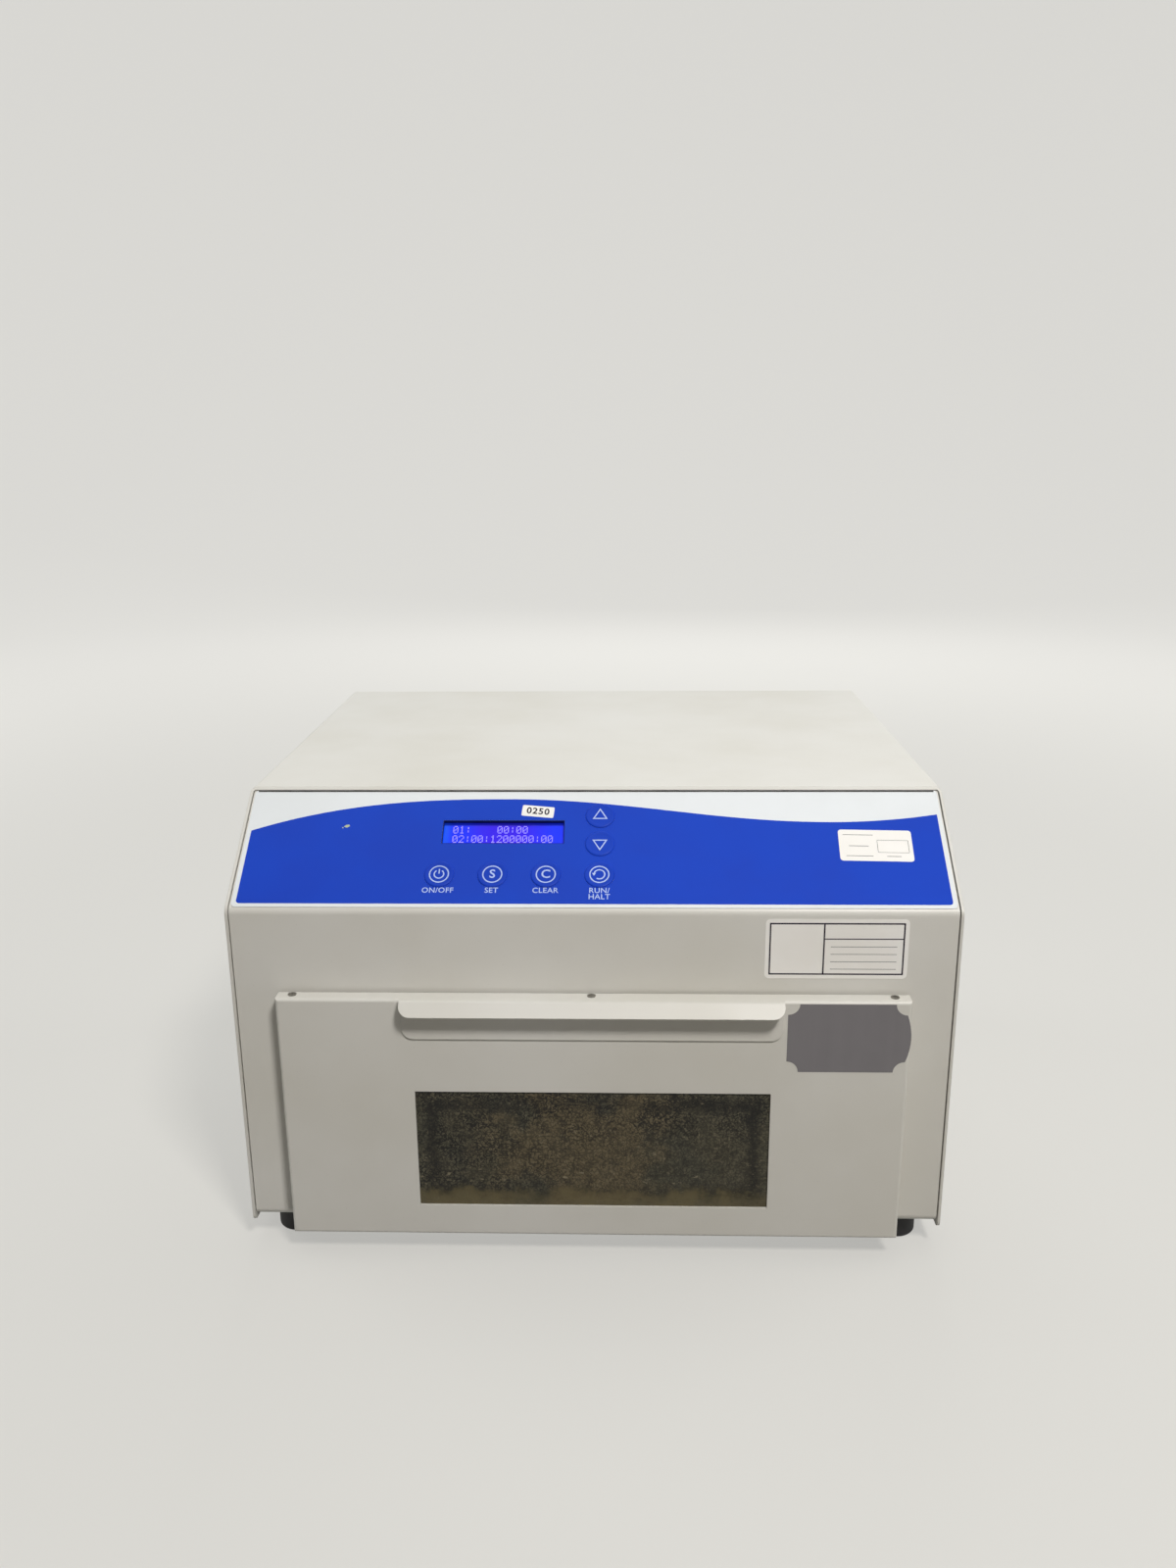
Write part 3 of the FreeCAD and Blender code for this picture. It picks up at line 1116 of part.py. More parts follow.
def checkAndWrite():
    doc.recompute()
    troubles = [thing.Name for thing in doc.Objects
                if any(word in ("Invalid", "Error") for word in thing.State)]
    for thing in nodes:
        if thing.Shape.isNull() or not thing.Shape.isValid() or not thing.Shape.Solids:
            troubles.append(f"{thing.Label}: bad shape")
    if troubles:
        raise SystemExit("not built: " + ", ".join(troubles))
    os.makedirs("parts", exist_ok=True)
    for thing in nodes:
        thing.Shape.exportStep(f"parts/{thing.Label}.step")
        box = thing.Shape.BoundBox
        print(f"{thing.Label}: {len(thing.Shape.Solids)} solids, {box.XLength:.1f} x {box.YLength:.1f}"
              f" x {box.ZLength:.1f} at {box.XMin:.1f}, {box.YMin:.1f}, {box.ZMin:.1f}")
    print(len(nodes), "nodes")


makeCover()
makeFrontPanel()
makeRearPanel()
makeBasePan()
makeFeet()
makeRearScrews()
makeLiner()
makeReflector()
makeLamps()
makeSensor()
makeDoorSkin()
makeDoorInner()
makeWindow()
makeHandle()
makeDoorScrews()
makeHinge()
makeCatches()
makeOverlay()
makeKeys()
makeDisplay()
makeControlBoard()
makePowerParts()
makeRibbon()
makeInlet()
checkAndWrite()
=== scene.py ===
import bmesh
import bpy
import math
import random
from mathutils import Matrix, Vector


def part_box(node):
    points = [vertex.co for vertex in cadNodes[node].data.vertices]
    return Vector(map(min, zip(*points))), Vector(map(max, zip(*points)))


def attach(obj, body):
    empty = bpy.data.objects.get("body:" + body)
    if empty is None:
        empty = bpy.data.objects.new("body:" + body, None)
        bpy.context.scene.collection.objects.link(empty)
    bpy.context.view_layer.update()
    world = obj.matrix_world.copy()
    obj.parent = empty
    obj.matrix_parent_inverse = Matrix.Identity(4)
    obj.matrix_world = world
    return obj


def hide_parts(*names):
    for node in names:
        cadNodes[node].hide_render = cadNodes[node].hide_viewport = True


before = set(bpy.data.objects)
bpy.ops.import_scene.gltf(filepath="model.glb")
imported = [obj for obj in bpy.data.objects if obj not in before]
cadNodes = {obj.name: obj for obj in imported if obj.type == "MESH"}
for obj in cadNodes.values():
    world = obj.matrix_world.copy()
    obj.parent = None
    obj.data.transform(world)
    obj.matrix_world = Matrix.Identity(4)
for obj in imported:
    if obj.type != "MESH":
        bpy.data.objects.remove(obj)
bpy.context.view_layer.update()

scene = bpy.context.scene
mm = 0.001
print("frame loaded:", len(cadNodes), "nodes")


# Camera, at the height and angle of the photograph

cameraSet = {
    "place": (18.98, -787.18, 461.21),   # mm
    "pitch": 0.2760, "yaw": 0.032, "roll": -0.009,
    "focalPixels": 1250.1, "longSide": 1600, "sensor": 36.0,
}


def makeCamera(s):
    lens = bpy.data.cameras.new("bench_view")
    lens.sensor_width = s["sensor"]
    lens.lens = s["focalPixels"] / s["longSide"] * s["sensor"]
    lens.clip_start, lens.clip_end = 0.02, 50
    camera = bpy.data.objects.new("bench_view", lens)
    scene.collection.objects.link(camera)
    tilt = Matrix.Rotation(math.pi / 2 - s["pitch"], 3, "X")
    spin = Matrix.Rotation(s["roll"], 3, "Z")
    aim = Matrix.Rotation(s["yaw"], 3, "Z") @ tilt @ spin
    camera.matrix_world = Matrix.Translation(Vector(s["place"]) * mm) @ aim.to_4x4()
    scene.camera = camera


makeCamera(cameraSet)


# Studio: a pale floor that curves up into a round wall, a wide lamp overhead, a smaller one high in front,
# and weak fills

studioSet = {
    "floorRadius": 2.4, "curve": 1.2, "wallTall": 5.0, "sides": 96, "curveSteps": 12,
    "sweepColour": (140, 139, 135), "glowColour": (226, 225, 221),
    "floorGlow": 0.57, "wallGlow": 0.83, # seen by the camera and in reflections only
    "glowStart": 0.7, "glowEnd": 2.5,    # distances from the object between which the one turns into the other
    "skyGlow": 0.09, "skySeen": 0.9,     # world light on the object, and as the background
    "lamps": {                           # place, aim, size (m), power (W) and colour
        "overhead": ((-0.1, 0.2, 1.75), (0, 0.05, 0.2), (1.8, 1.6), 7.9, (0.96, 1.0, 0.985)),
        "high_front": ((0.53, -1.2, 1.61), (0, -0.1, 0.15), (0.30, 0.30), 24.0, (1.0, 0.965, 0.925)),
        "front_fill": ((0.3, -2.3, 0.7), (0, 0, 0.12), (1.6, 1.0), 1.0, (1.0, 0.78, 0.66)),
        "left_fill": ((-1.9, 0.55, 0.8), (0, 0.1, 0.12), (1.2, 0.9), 13, (1.0, 1.0, 1.0)),
        "right_fill": ((1.9, 0.55, 0.8), (0, 0.1, 0.12), (1.2, 0.9), 13, (1.0, 1.0, 1.0)),
        "rear_fill": ((0.2, 2.0, 1.1), (0, 0.1, 0.12), (1.4, 0.9), 14, (1.0, 1.0, 1.0)),
    },
}


def srgb(red, green, blue):
    channels = [value / 255 for value in (red, green, blue)]
    return (*[value / 12.92 if value <= 0.04045 else ((value + 0.055) / 1.055) ** 2.4
              for value in channels], 1.0)


def addNode(tree, kind, inputs=None, **settings):
    made = tree.nodes.new(kind)
    made.location = (190 * (len(tree.nodes) % 9), -260 * (len(tree.nodes) // 9))
    for name, value in settings.items():
        setattr(made, name, value)
    for name, value in (inputs or {}).items():
        if isinstance(value, bpy.types.NodeSocket):
            tree.links.new(value, made.inputs[name])
        else:
            made.inputs[name].default_value = value
    return made


def calc(tree, operation, *values, clamp=False):
    made = addNode(tree, "ShaderNodeMath", dict(enumerate(values)), operation=operation, use_clamp=clamp)
    return made.outputs[0]


def seenRays(tree):
    rays = addNode(tree, "ShaderNodeLightPath").outputs
    direct = calc(tree, "MAXIMUM", rays["Is Camera Ray"], rays["Is Glossy Ray"])
    return calc(tree, "MAXIMUM", direct, rays["Is Transmission Ray"])


def makeStudio(s):
    profile = [(0.0, 0.0), (s["floorRadius"], 0.0)]
    for step in range(1, s["curveSteps"] + 1):
        turn = math.pi / 2 * step / s["curveSteps"]
        profile.append((s["floorRadius"] + s["curve"] * math.sin(turn), s["curve"] * (1 - math.cos(turn))))
    profile.append((s["floorRadius"] + s["curve"], s["wallTall"]))
    corners = [(radius * math.cos(2 * math.pi * side / s["sides"]), radius * math.sin(2 * math.pi * side / s["sides"]),
                z) for radius, z in profile for side in range(s["sides"])]
    faces = []
    for ring in range(len(profile) - 1):
        for side in range(s["sides"]):
            after = (side + 1) % s["sides"]
            first, second = ring * s["sides"], (ring + 1) * s["sides"]
            faces.append((first + side, second + side, second + after, first + after))
    mesh = bpy.data.meshes.new("studio_sweep")
    mesh.from_pydata(corners, [], faces)
    mesh.polygons.foreach_set("use_smooth", [True] * len(faces))
    sweep = bpy.data.objects.new("studio_sweep", mesh)
    scene.collection.objects.link(sweep)
    pale = bpy.data.materials.new("studio_pale")
    pale.use_nodes = True
    tree = pale.node_tree
    shader = tree.nodes["Principled BSDF"]
    shader.inputs["Base Color"].default_value = srgb(*s["sweepColour"])
    shader.inputs["Roughness"].default_value = 0.9
    shader.inputs["Emission Color"].default_value = srgb(*s["glowColour"])
    away = addNode(tree, "ShaderNodeVectorMath", {0: addNode(tree, "ShaderNodeTexCoord").outputs["Object"]},
                   operation="LENGTH").outputs["Value"]
    glow = addNode(tree, "ShaderNodeMapRange", {"Value": away, "From Min": s["glowStart"],
                                                "From Max": s["glowEnd"], "To Min": s["floorGlow"],
                                                "To Max": s["wallGlow"]}, interpolation_type="SMOOTHSTEP")
    tree.links.new(calc(tree, "MULTIPLY", seenRays(tree), glow.outputs[0]), shader.inputs["Emission Strength"])
    mesh.materials.append(pale)

    world = bpy.data.worlds.new("studio_sky")
    scene.world = world
    world.use_nodes = True
    tree = world.node_tree
    tree.nodes.clear()
    strength = addNode(tree, "ShaderNodeMapRange", {"Value": seenRays(tree), "To Min": s["skyGlow"],
                                                    "To Max": s["skySeen"]})
    sky = addNode(tree, "ShaderNodeBackground", {"Color": (1, 1, 1, 1), "Strength": strength.outputs[0]})
    addNode(tree, "ShaderNodeOutputWorld", {"Surface": sky.outputs[0]})

    for name, (place, aim, size, power, colour) in s["lamps"].items():
        light = bpy.data.lights.new(name, "AREA")
        light.shape = "RECTANGLE"
        light.size, light.size_y = size
        light.energy, light.color = power, colour
        lamp = bpy.data.objects.new(name, light)
        lamp.location = place
        lamp.visible_camera = lamp.visible_glossy = name in ("overhead", "high_front")
        lamp.rotation_euler = (Vector(aim) - Vector(place)).to_track_quat("-Z", "Y").to_euler()
        scene.collection.objects.link(lamp)
    scene.view_settings.view_transform = "Standard"


makeStudio(studioSet)
print("studio ready")


# Shared effects as node groups: each puts out masks and heights only

def startGroup(name, inputs, outputs):
    group = bpy.data.node_groups.new(name, "ShaderNodeTree")
    for label, value in inputs.items():
        kind = "NodeSocketVector" if isinstance(value, tuple) else "NodeSocketFloat"
        socket = group.interface.new_socket(name=label, in_out="INPUT", socket_type=kind)
        socket.default_value = value
    for label in outputs:
        kind = "NodeSocketVector" if label == "Normal" else "NodeSocketFloat"
        group.interface.new_socket(name=label, in_out="OUTPUT", socket_type=kind)
    return group, group.nodes.new("NodeGroupInput"), group.nodes.new("NodeGroupOutput")


def spread(tree, value, low, high, toLow=0.0, toHigh=1.0):
    made = addNode(tree, "ShaderNodeMapRange", {"Value": value, "From Min": low, "From Max": high,
                                                "To Min": toLow, "To Max": toHigh},
                   interpolation_type="SMOOTHSTEP")
    return made.outputs[0]


def noise(tree, vector, scale, detail=3.0, rough=0.55, distort=0.0):
    made = addNode(tree, "ShaderNodeTexNoise", {"Vector": vector, "Scale": scale, "Detail": detail,
                                                "Roughness": rough, "Distortion": distort})
    return made.outputs[0]


def stretch(tree, vector, scale):
    return addNode(tree, "ShaderNodeMapping", {"Vector": vector, "Scale": scale}).outputs[0]


def makeGrainGroup():
    group, given, result = startGroup("surface_grain", {"Vector": (0.0, 0.0, 0.0), "Grain Scale": 900.0,
                                                        "Blotch Scale": 9.0}, ["Height", "Blotch", "Specks"])
    fine = noise(group, given.outputs["Vector"], given.outputs["Grain Scale"], 2.0)
    blotch = noise(group, given.outputs["Vector"], given.outputs["Blotch Scale"], 4.0)
    speckScale = calc(group, "MULTIPLY", given.outputs["Grain Scale"], 0.35)
    dots = addNode(group, "ShaderNodeTexVoronoi", {"Vector": given.outputs["Vector"], "Scale": speckScale})
    near = spread(group, dots.outputs["Distance"], 0.16, 0.05)
    rare = calc(group, "GREATER_THAN", noise(group, given.outputs["Vector"], speckScale, 0.0), 0.66)
    group.links.new(fine, result.inputs["Height"])
    group.links.new(blotch, result.inputs["Blotch"])
    group.links.new(calc(group, "MULTIPLY", near, rare), result.inputs["Specks"])
    return group


def makeWearGroup():
    group, given, result = startGroup("edge_wear", {"Vector": (0.0, 0.0, 0.0), "Width": 0.0008,
                                                    "Break Up": 120.0}, ["Edge", "Chips", "Normal"])
    soft = addNode(group, "ShaderNodeBevel", {"Radius": given.outputs["Width"]}, samples=4)
    face = addNode(group, "ShaderNodeNewGeometry")
    lean = addNode(group, "ShaderNodeVectorMath", {0: soft.outputs[0], 1: face.outputs["Normal"]},
                   operation="DOT_PRODUCT")
    edge = spread(group, lean.outputs["Value"], 0.995, 0.86)
    broken = spread(group, noise(group, given.outputs["Vector"], given.outputs["Break Up"], 5.0), 0.50, 0.68)
    group.links.new(edge, result.inputs["Edge"])
    group.links.new(soft.outputs[0], result.inputs["Normal"])
    group.links.new(calc(group, "MULTIPLY", edge, broken), result.inputs["Chips"])
    return group


def makeDustGroup():
    group, given, result = startGroup("settled_dust", {"Vector": (0.0, 0.0, 0.0), "Patch Scale": 14.0},
                                      ["Dust"])
    face = addNode(group, "ShaderNodeNewGeometry")
    parts = addNode(group, "ShaderNodeSeparateXYZ", {"Vector": face.outputs["Normal"]})
    upward = spread(group, parts.outputs["Z"], 0.35, 0.95)
    patch = spread(group, noise(group, given.outputs["Vector"], given.outputs["Patch Scale"], 6.0), 0.35, 0.75)
    group.links.new(calc(group, "MULTIPLY", upward, patch), result.inputs["Dust"])
    return group


def makeScratchGroup():
    group, given, result = startGroup("hair_scratches", {"Vector": (0.0, 0.0, 0.0), "Scale": 30.0,
                                                         "Width": 0.02, "Share": 0.3}, ["Lines"])
    rare = calc(group, "SUBTRACT", 1.0, given.outputs["Share"])
    lines = []
    for turn, seed in ((0.25, 0.0), (-0.7, 3.7), (1.4, 8.1)):
        turned = addNode(group, "ShaderNodeMapping", {"Vector": given.outputs["Vector"],
                                                      "Location": (seed, seed, seed),
                                                      "Rotation": (turn, turn * 0.6, turn),
                                                      "Scale": (0.05, 1.0, 1.0)})
        marks = addNode(group, "ShaderNodeTexVoronoi", {"Vector": turned.outputs[0],
                                                        "Scale": given.outputs["Scale"]})
        line = calc(group, "LESS_THAN", marks.outputs["Distance"], given.outputs["Width"])
        shade = addNode(group, "ShaderNodeSeparateXYZ", {"Vector": marks.outputs["Color"]})
        lines.append(calc(group, "MULTIPLY", line, calc(group, "GREATER_THAN", shade.outputs["X"], rare)))
    both = calc(group, "MAXIMUM", lines[0], lines[1])
    group.links.new(calc(group, "MAXIMUM", both, lines[2]), result.inputs["Lines"])
    return group


def makeRolledGroup():
    group, given, result = startGroup("rolled_sheet", {"Vector": (0.0, 0.0, 0.0), "Along": (0.02, 1.0, 1.0),
                                                       "Scale": 1500.0}, ["Height", "Streak"])
    drawn = addNode(group, "ShaderNodeVectorMath", {0: given.outputs["Vector"], 1: given.outputs["Along"]},
                    operation="MULTIPLY")
    streak = noise(group, drawn.outputs[0], given.outputs["Scale"], 3.0)
    broad = noise(group, drawn.outputs[0], calc(group, "MULTIPLY", given.outputs["Scale"], 0.06), 3.0)
    group.links.new(streak, result.inputs["Height"])
    group.links.new(broad, result.inputs["Streak"])
    return group


groups = {"grain": makeGrainGroup(), "wear": makeWearGroup(), "dust": makeDustGroup(),
          "scratch": makeScratchGroup(), "rolled": makeRolledGroup()}
print("node groups ready:", len(groups))


# Finishes

def useGroup(tree, name, **values):
    made = addNode(tree, "ShaderNodeGroup", node_tree=groups[name])
    for label, value in values.items():
        socket = made.inputs[label.replace("_", " ")]
        if isinstance(value, bpy.types.NodeSocket):
            tree.links.new(value, socket)
        else:
            socket.default_value = value
    return made


def mixed(tree, factor, first, second):
    made = addNode(tree, "ShaderNodeMix", data_type="RGBA")
    for socket, value in ((made.inputs[0], factor), (made.inputs[6], first), (made.inputs[7], second)):
        if isinstance(value, bpy.types.NodeSocket):
            tree.links.new(value, socket)
        else:
            socket.default_value = value
    return made.outputs[2]


def bumped(tree, height, strength, distance, under=None):
    made = addNode(tree, "ShaderNodeBump", {"Height": height, "Strength": strength, "Distance": distance})
    if under:
        tree.links.new(under, made.inputs["Normal"])
    return made.outputs[0]


def startMaterial(name, **sockets):
    material = bpy.data.materials.new(name)
    material.use_nodes = True
    tree = material.node_tree
    shader = tree.nodes["Principled BSDF"]
    for label, value in sockets.items():
        shader.inputs[label.replace("_", " ")].default_value = value
    place = addNode(tree, "ShaderNodeTexCoord").outputs["Object"]
    return material, tree, shader, place


def join(tree, shader, **values):
    for label, value in values.items():
        tree.links.new(value, shader.inputs[label.replace("_", " ")])


finishes = {}

paintSet = {
    "colour": (223, 222, 217), "shade": (214, 212, 204), "dust": (206, 203, 192), "speck": (150, 145, 133),
    "metal": (132, 130, 124), "peelScale": 1500.0, "peelDepth": 0.00005,
}


def makePaint(s):
    material, tree, shader, place = startMaterial("casing_paint", Specular_IOR_Level=0.5)
    grain = useGroup(tree, "grain", Vector=place, Grain_Scale=s["peelScale"], Blotch_Scale=7.0)
    wear = useGroup(tree, "wear", Vector=place, Width=0.0004, Break_Up=160.0)
    dust = useGroup(tree, "dust", Vector=place, Patch_Scale=11.0)
    lines = useGroup(tree, "scratch", Vector=place, Scale=70.0, Width=0.012, Share=0.18)
    base = mixed(tree, spread(tree, grain.outputs["Blotch"], 0.3, 0.75), srgb(*s["colour"]), srgb(*s["shade"]))
    base = mixed(tree, calc(tree, "MULTIPLY", grain.outputs["Specks"], 0.22), base, srgb(*s["speck"]))
    base = mixed(tree, calc(tree, "MULTIPLY", dust.outputs["Dust"], 0.07), base, srgb(*s["dust"]))
    base = mixed(tree, calc(tree, "MULTIPLY", lines.outputs["Lines"], 0.14), base, srgb(*s["speck"]))
    base = mixed(tree, calc(tree, "MULTIPLY", wear.outputs["Chips"], 0.14), base, srgb(*s["metal"]))
    rough = spread(tree, grain.outputs["Blotch"], 0.2, 0.8, 0.36, 0.47)
    join(tree, shader, Base_Color=base, Roughness=rough,
         Normal=bumped(tree, grain.outputs["Height"], 0.25, s["peelDepth"], wear.outputs["Normal"]))
    return material


finishes["paint"] = makePaint(paintSet)


def makeFilm(name, colour, worn, rough, scratched=0.10):
    material, tree, shader, place = startMaterial(name, Specular_IOR_Level=0.12)
    grain = useGroup(tree, "grain", Vector=place, Grain_Scale=2600.0, Blotch_Scale=16.0)
    lines = useGroup(tree, "scratch", Vector=place, Scale=90.0, Width=0.012, Share=0.14)
    base = mixed(tree, spread(tree, grain.outputs["Blotch"], 0.35, 0.7), srgb(*colour), srgb(*worn))
    base = mixed(tree, calc(tree, "MULTIPLY", lines.outputs["Lines"], scratched), base, srgb(170, 185, 225))
    join(tree, shader, Base_Color=base, Roughness=spread(tree, grain.outputs["Blotch"], 0.2, 0.8, rough, rough + 0.1),
         Normal=bumped(tree, grain.outputs["Height"], 0.12, 0.00003))
    return material


finishes["blueFilm"] = makeFilm("overlay_blue", (24, 69, 197), (27, 66, 190), 0.36)
finishes["whiteFilm"] = makeFilm("overlay_white", (236, 241, 245), (232, 237, 240), 0.34)
finishes["keyFilm"] = makeFilm("key_blue", (24, 67, 194), (24, 62, 185), 0.34)
finishes["ink"] = makeFilm("print_pale", (190, 208, 248), (178, 197, 242), 0.4, 0.0)
# painted shade: dark navy film, coloured as the shadow inside the display cut-out
finishes["linerPaintedShade"] = makeFilm("window_liner", (20, 30, 92), (16, 24, 76), 0.45)
finishes["chipTan"] = makeFilm("bared_film", (196, 208, 176), (170, 178, 140), 0.5, 0.0)
finishes["labelPaper"] = makeFilm("label_white", (252, 251, 248), (247, 245, 240), 0.45, 0.0)
finishes["labelInk"] = makeFilm("label_dark_ink", (38, 32, 46), (50, 44, 56), 0.5, 0.0)


def makeMetal(name, colour, dull, rough, along, depth=0.00002, dirt=0.2, shiny=1.0):
    material, tree, shader, place = startMaterial(name, Metallic=shiny)
    rolled = useGroup(tree, "rolled", Vector=place, Along=along, Scale=1700.0)
    grain = useGroup(tree, "grain", Vector=place, Grain_Scale=700.0, Blotch_Scale=18.0)
    lines = useGroup(tree, "scratch", Vector=place, Scale=160.0, Width=0.014, Share=0.2)
    base = mixed(tree, rolled.outputs["Streak"], srgb(*colour), srgb(*dull))
    stain = calc(tree, "MULTIPLY", spread(tree, grain.outputs["Blotch"], 0.5, 0.8), dirt)
    base = mixed(tree, stain, base, srgb(*[value * 0.6 for value in dull]))
    polish = spread(tree, rolled.outputs["Streak"], 0.2, 0.8, rough, rough + 0.14)
    scuffed = calc(tree, "ADD", polish, calc(tree, "MULTIPLY", lines.outputs["Lines"], 0.07), clamp=True)
    join(tree, shader, Base_Color=base, Roughness=scuffed,
         Normal=bumped(tree, rolled.outputs["Height"], 0.2, depth))
    return material


finishes["brightSheet"] = makeMetal("bright_sheet", (228, 229, 230), (212, 214, 216), 0.34, (0.02, 1.0, 1.0), shiny=0.72)
finishes["baseSteel"] = makeMetal("zinc_plate", (176, 178, 172), (140, 143, 138), 0.34, (1.0, 0.05, 1.0))
finishes["screwSteel"] = makeMetal("nickel_screw", (178, 176, 170), (120, 117, 110), 0.26, (1.0, 1.0, 1.0), dirt=0.6)
finishes["hingeSteel"] = makeMetal("hinge_steel", (186, 186, 184), (150, 150, 148), 0.24, (0.03, 1.0, 1.0))
finishes["capMetal"] = makeMetal("lamp_cap", (204, 206, 208), (170, 172, 174), 0.22, (1.0, 0.1, 0.1))
finishes["brass"] = makeMetal("pin_brass", (206, 176, 108), (160, 132, 76), 0.25, (0.1, 1.0, 1.0))
finishes["magnet"] = makeMetal("magnet_plate", (96, 94, 92), (62, 60, 58), 0.36, (1.0, 1.0, 1.0))


def makePlastic(name, colour, worn, rough, grainScale=1100.0, depth=0.00004, dusty=0.25):
    material, tree, shader, place = startMaterial(name, Specular_IOR_Level=0.45)
    grain = useGroup(tree, "grain", Vector=place, Grain_Scale=grainScale, Blotch_Scale=25.0)
    wear = useGroup(tree, "wear", Vector=place, Width=0.0006, Break_Up=240.0)
    dust = useGroup(tree, "dust", Vector=place, Patch_Scale=40.0)
    base = mixed(tree, spread(tree, grain.outputs["Blotch"], 0.3, 0.7), srgb(*colour), srgb(*worn))
    base = mixed(tree, calc(tree, "MULTIPLY", wear.outputs["Edge"], 0.25), base,
                 srgb(*[min(255, value * 1.5 + 14) for value in colour]))
    base = mixed(tree, calc(tree, "MULTIPLY", dust.outputs["Dust"], dusty), base, srgb(150, 145, 136))
    join(tree, shader, Base_Color=base, Roughness=spread(tree, grain.outputs["Blotch"], 0.2, 0.8, rough, rough + 0.12),
         Normal=bumped(tree, grain.outputs["Height"], 0.35, depth))
    return material


finishes["rubber"] = makePlastic("foot_rubber", (26, 26, 27), (38, 37, 36), 0.62)
finishes["blackPlastic"] = makePlastic("black_plastic", (22, 22, 24), (32, 32, 34), 0.38)
finishes["greyPlastic"] = makePlastic("grey_plastic", (150, 152, 150), (136, 138, 136), 0.42)
finishes["whitePlastic"] = makePlastic("socket_white", (222, 220, 208), (206, 198, 172), 0.36)


def makeLampGlass(s):
    material, tree, shader, place = startMaterial("lamp_glass", Coat_Weight=0.6, Coat_Roughness=0.05)
    parts = addNode(tree, "ShaderNodeSeparateXYZ", {"Vector": place})
    fromMiddle = calc(tree, "ABSOLUTE", parts.outputs["X"])
    grain = useGroup(tree, "grain", Vector=place, Grain_Scale=400.0, Blotch_Scale=30.0)
    burnt = spread(tree, calc(tree, "ADD", fromMiddle, calc(tree, "MULTIPLY", grain.outputs["Blotch"], 0.006)),
                   s["burnStart"], s["burnEnd"])
    base = mixed(tree, grain.outputs["Blotch"], srgb(*s["colour"]), srgb(*s["second"]))
    base = mixed(tree, calc(tree, "MULTIPLY", burnt, 0.7), base, srgb(*s["burn"]))
    join(tree, shader, Base_Color=base, Roughness=spread(tree, grain.outputs["Blotch"], 0.0, 1.0, 0.12, 0.22))
    return material


finishes["lampGlass"] = makeLampGlass({"colour": (232, 236, 242), "second": (222, 228, 238), "burn": (92, 84, 80),
                                       "burnStart": 0.126, "burnEnd": 0.137})


# Filter pane: old brown acrylic, finely crazed, with a dark tide mark inside its frame

paneSet = {
    "brown": (104, 94, 72), "olive": (84, 80, 65), "grey": (77, 75, 62), "dark": (16, 14, 10),
    "pale": (158, 148, 124), "rim": (86, 84, 70), "strip": (106, 96, 66),
    "halfWide": 0.0998, "low": 0.0346, "high": 0.1078, "centreX": -0.008,
    "tideIn": 0.0088, "tideWide": 0.0060, "stripTall": 0.0084, "cellScale": 400.0,
}


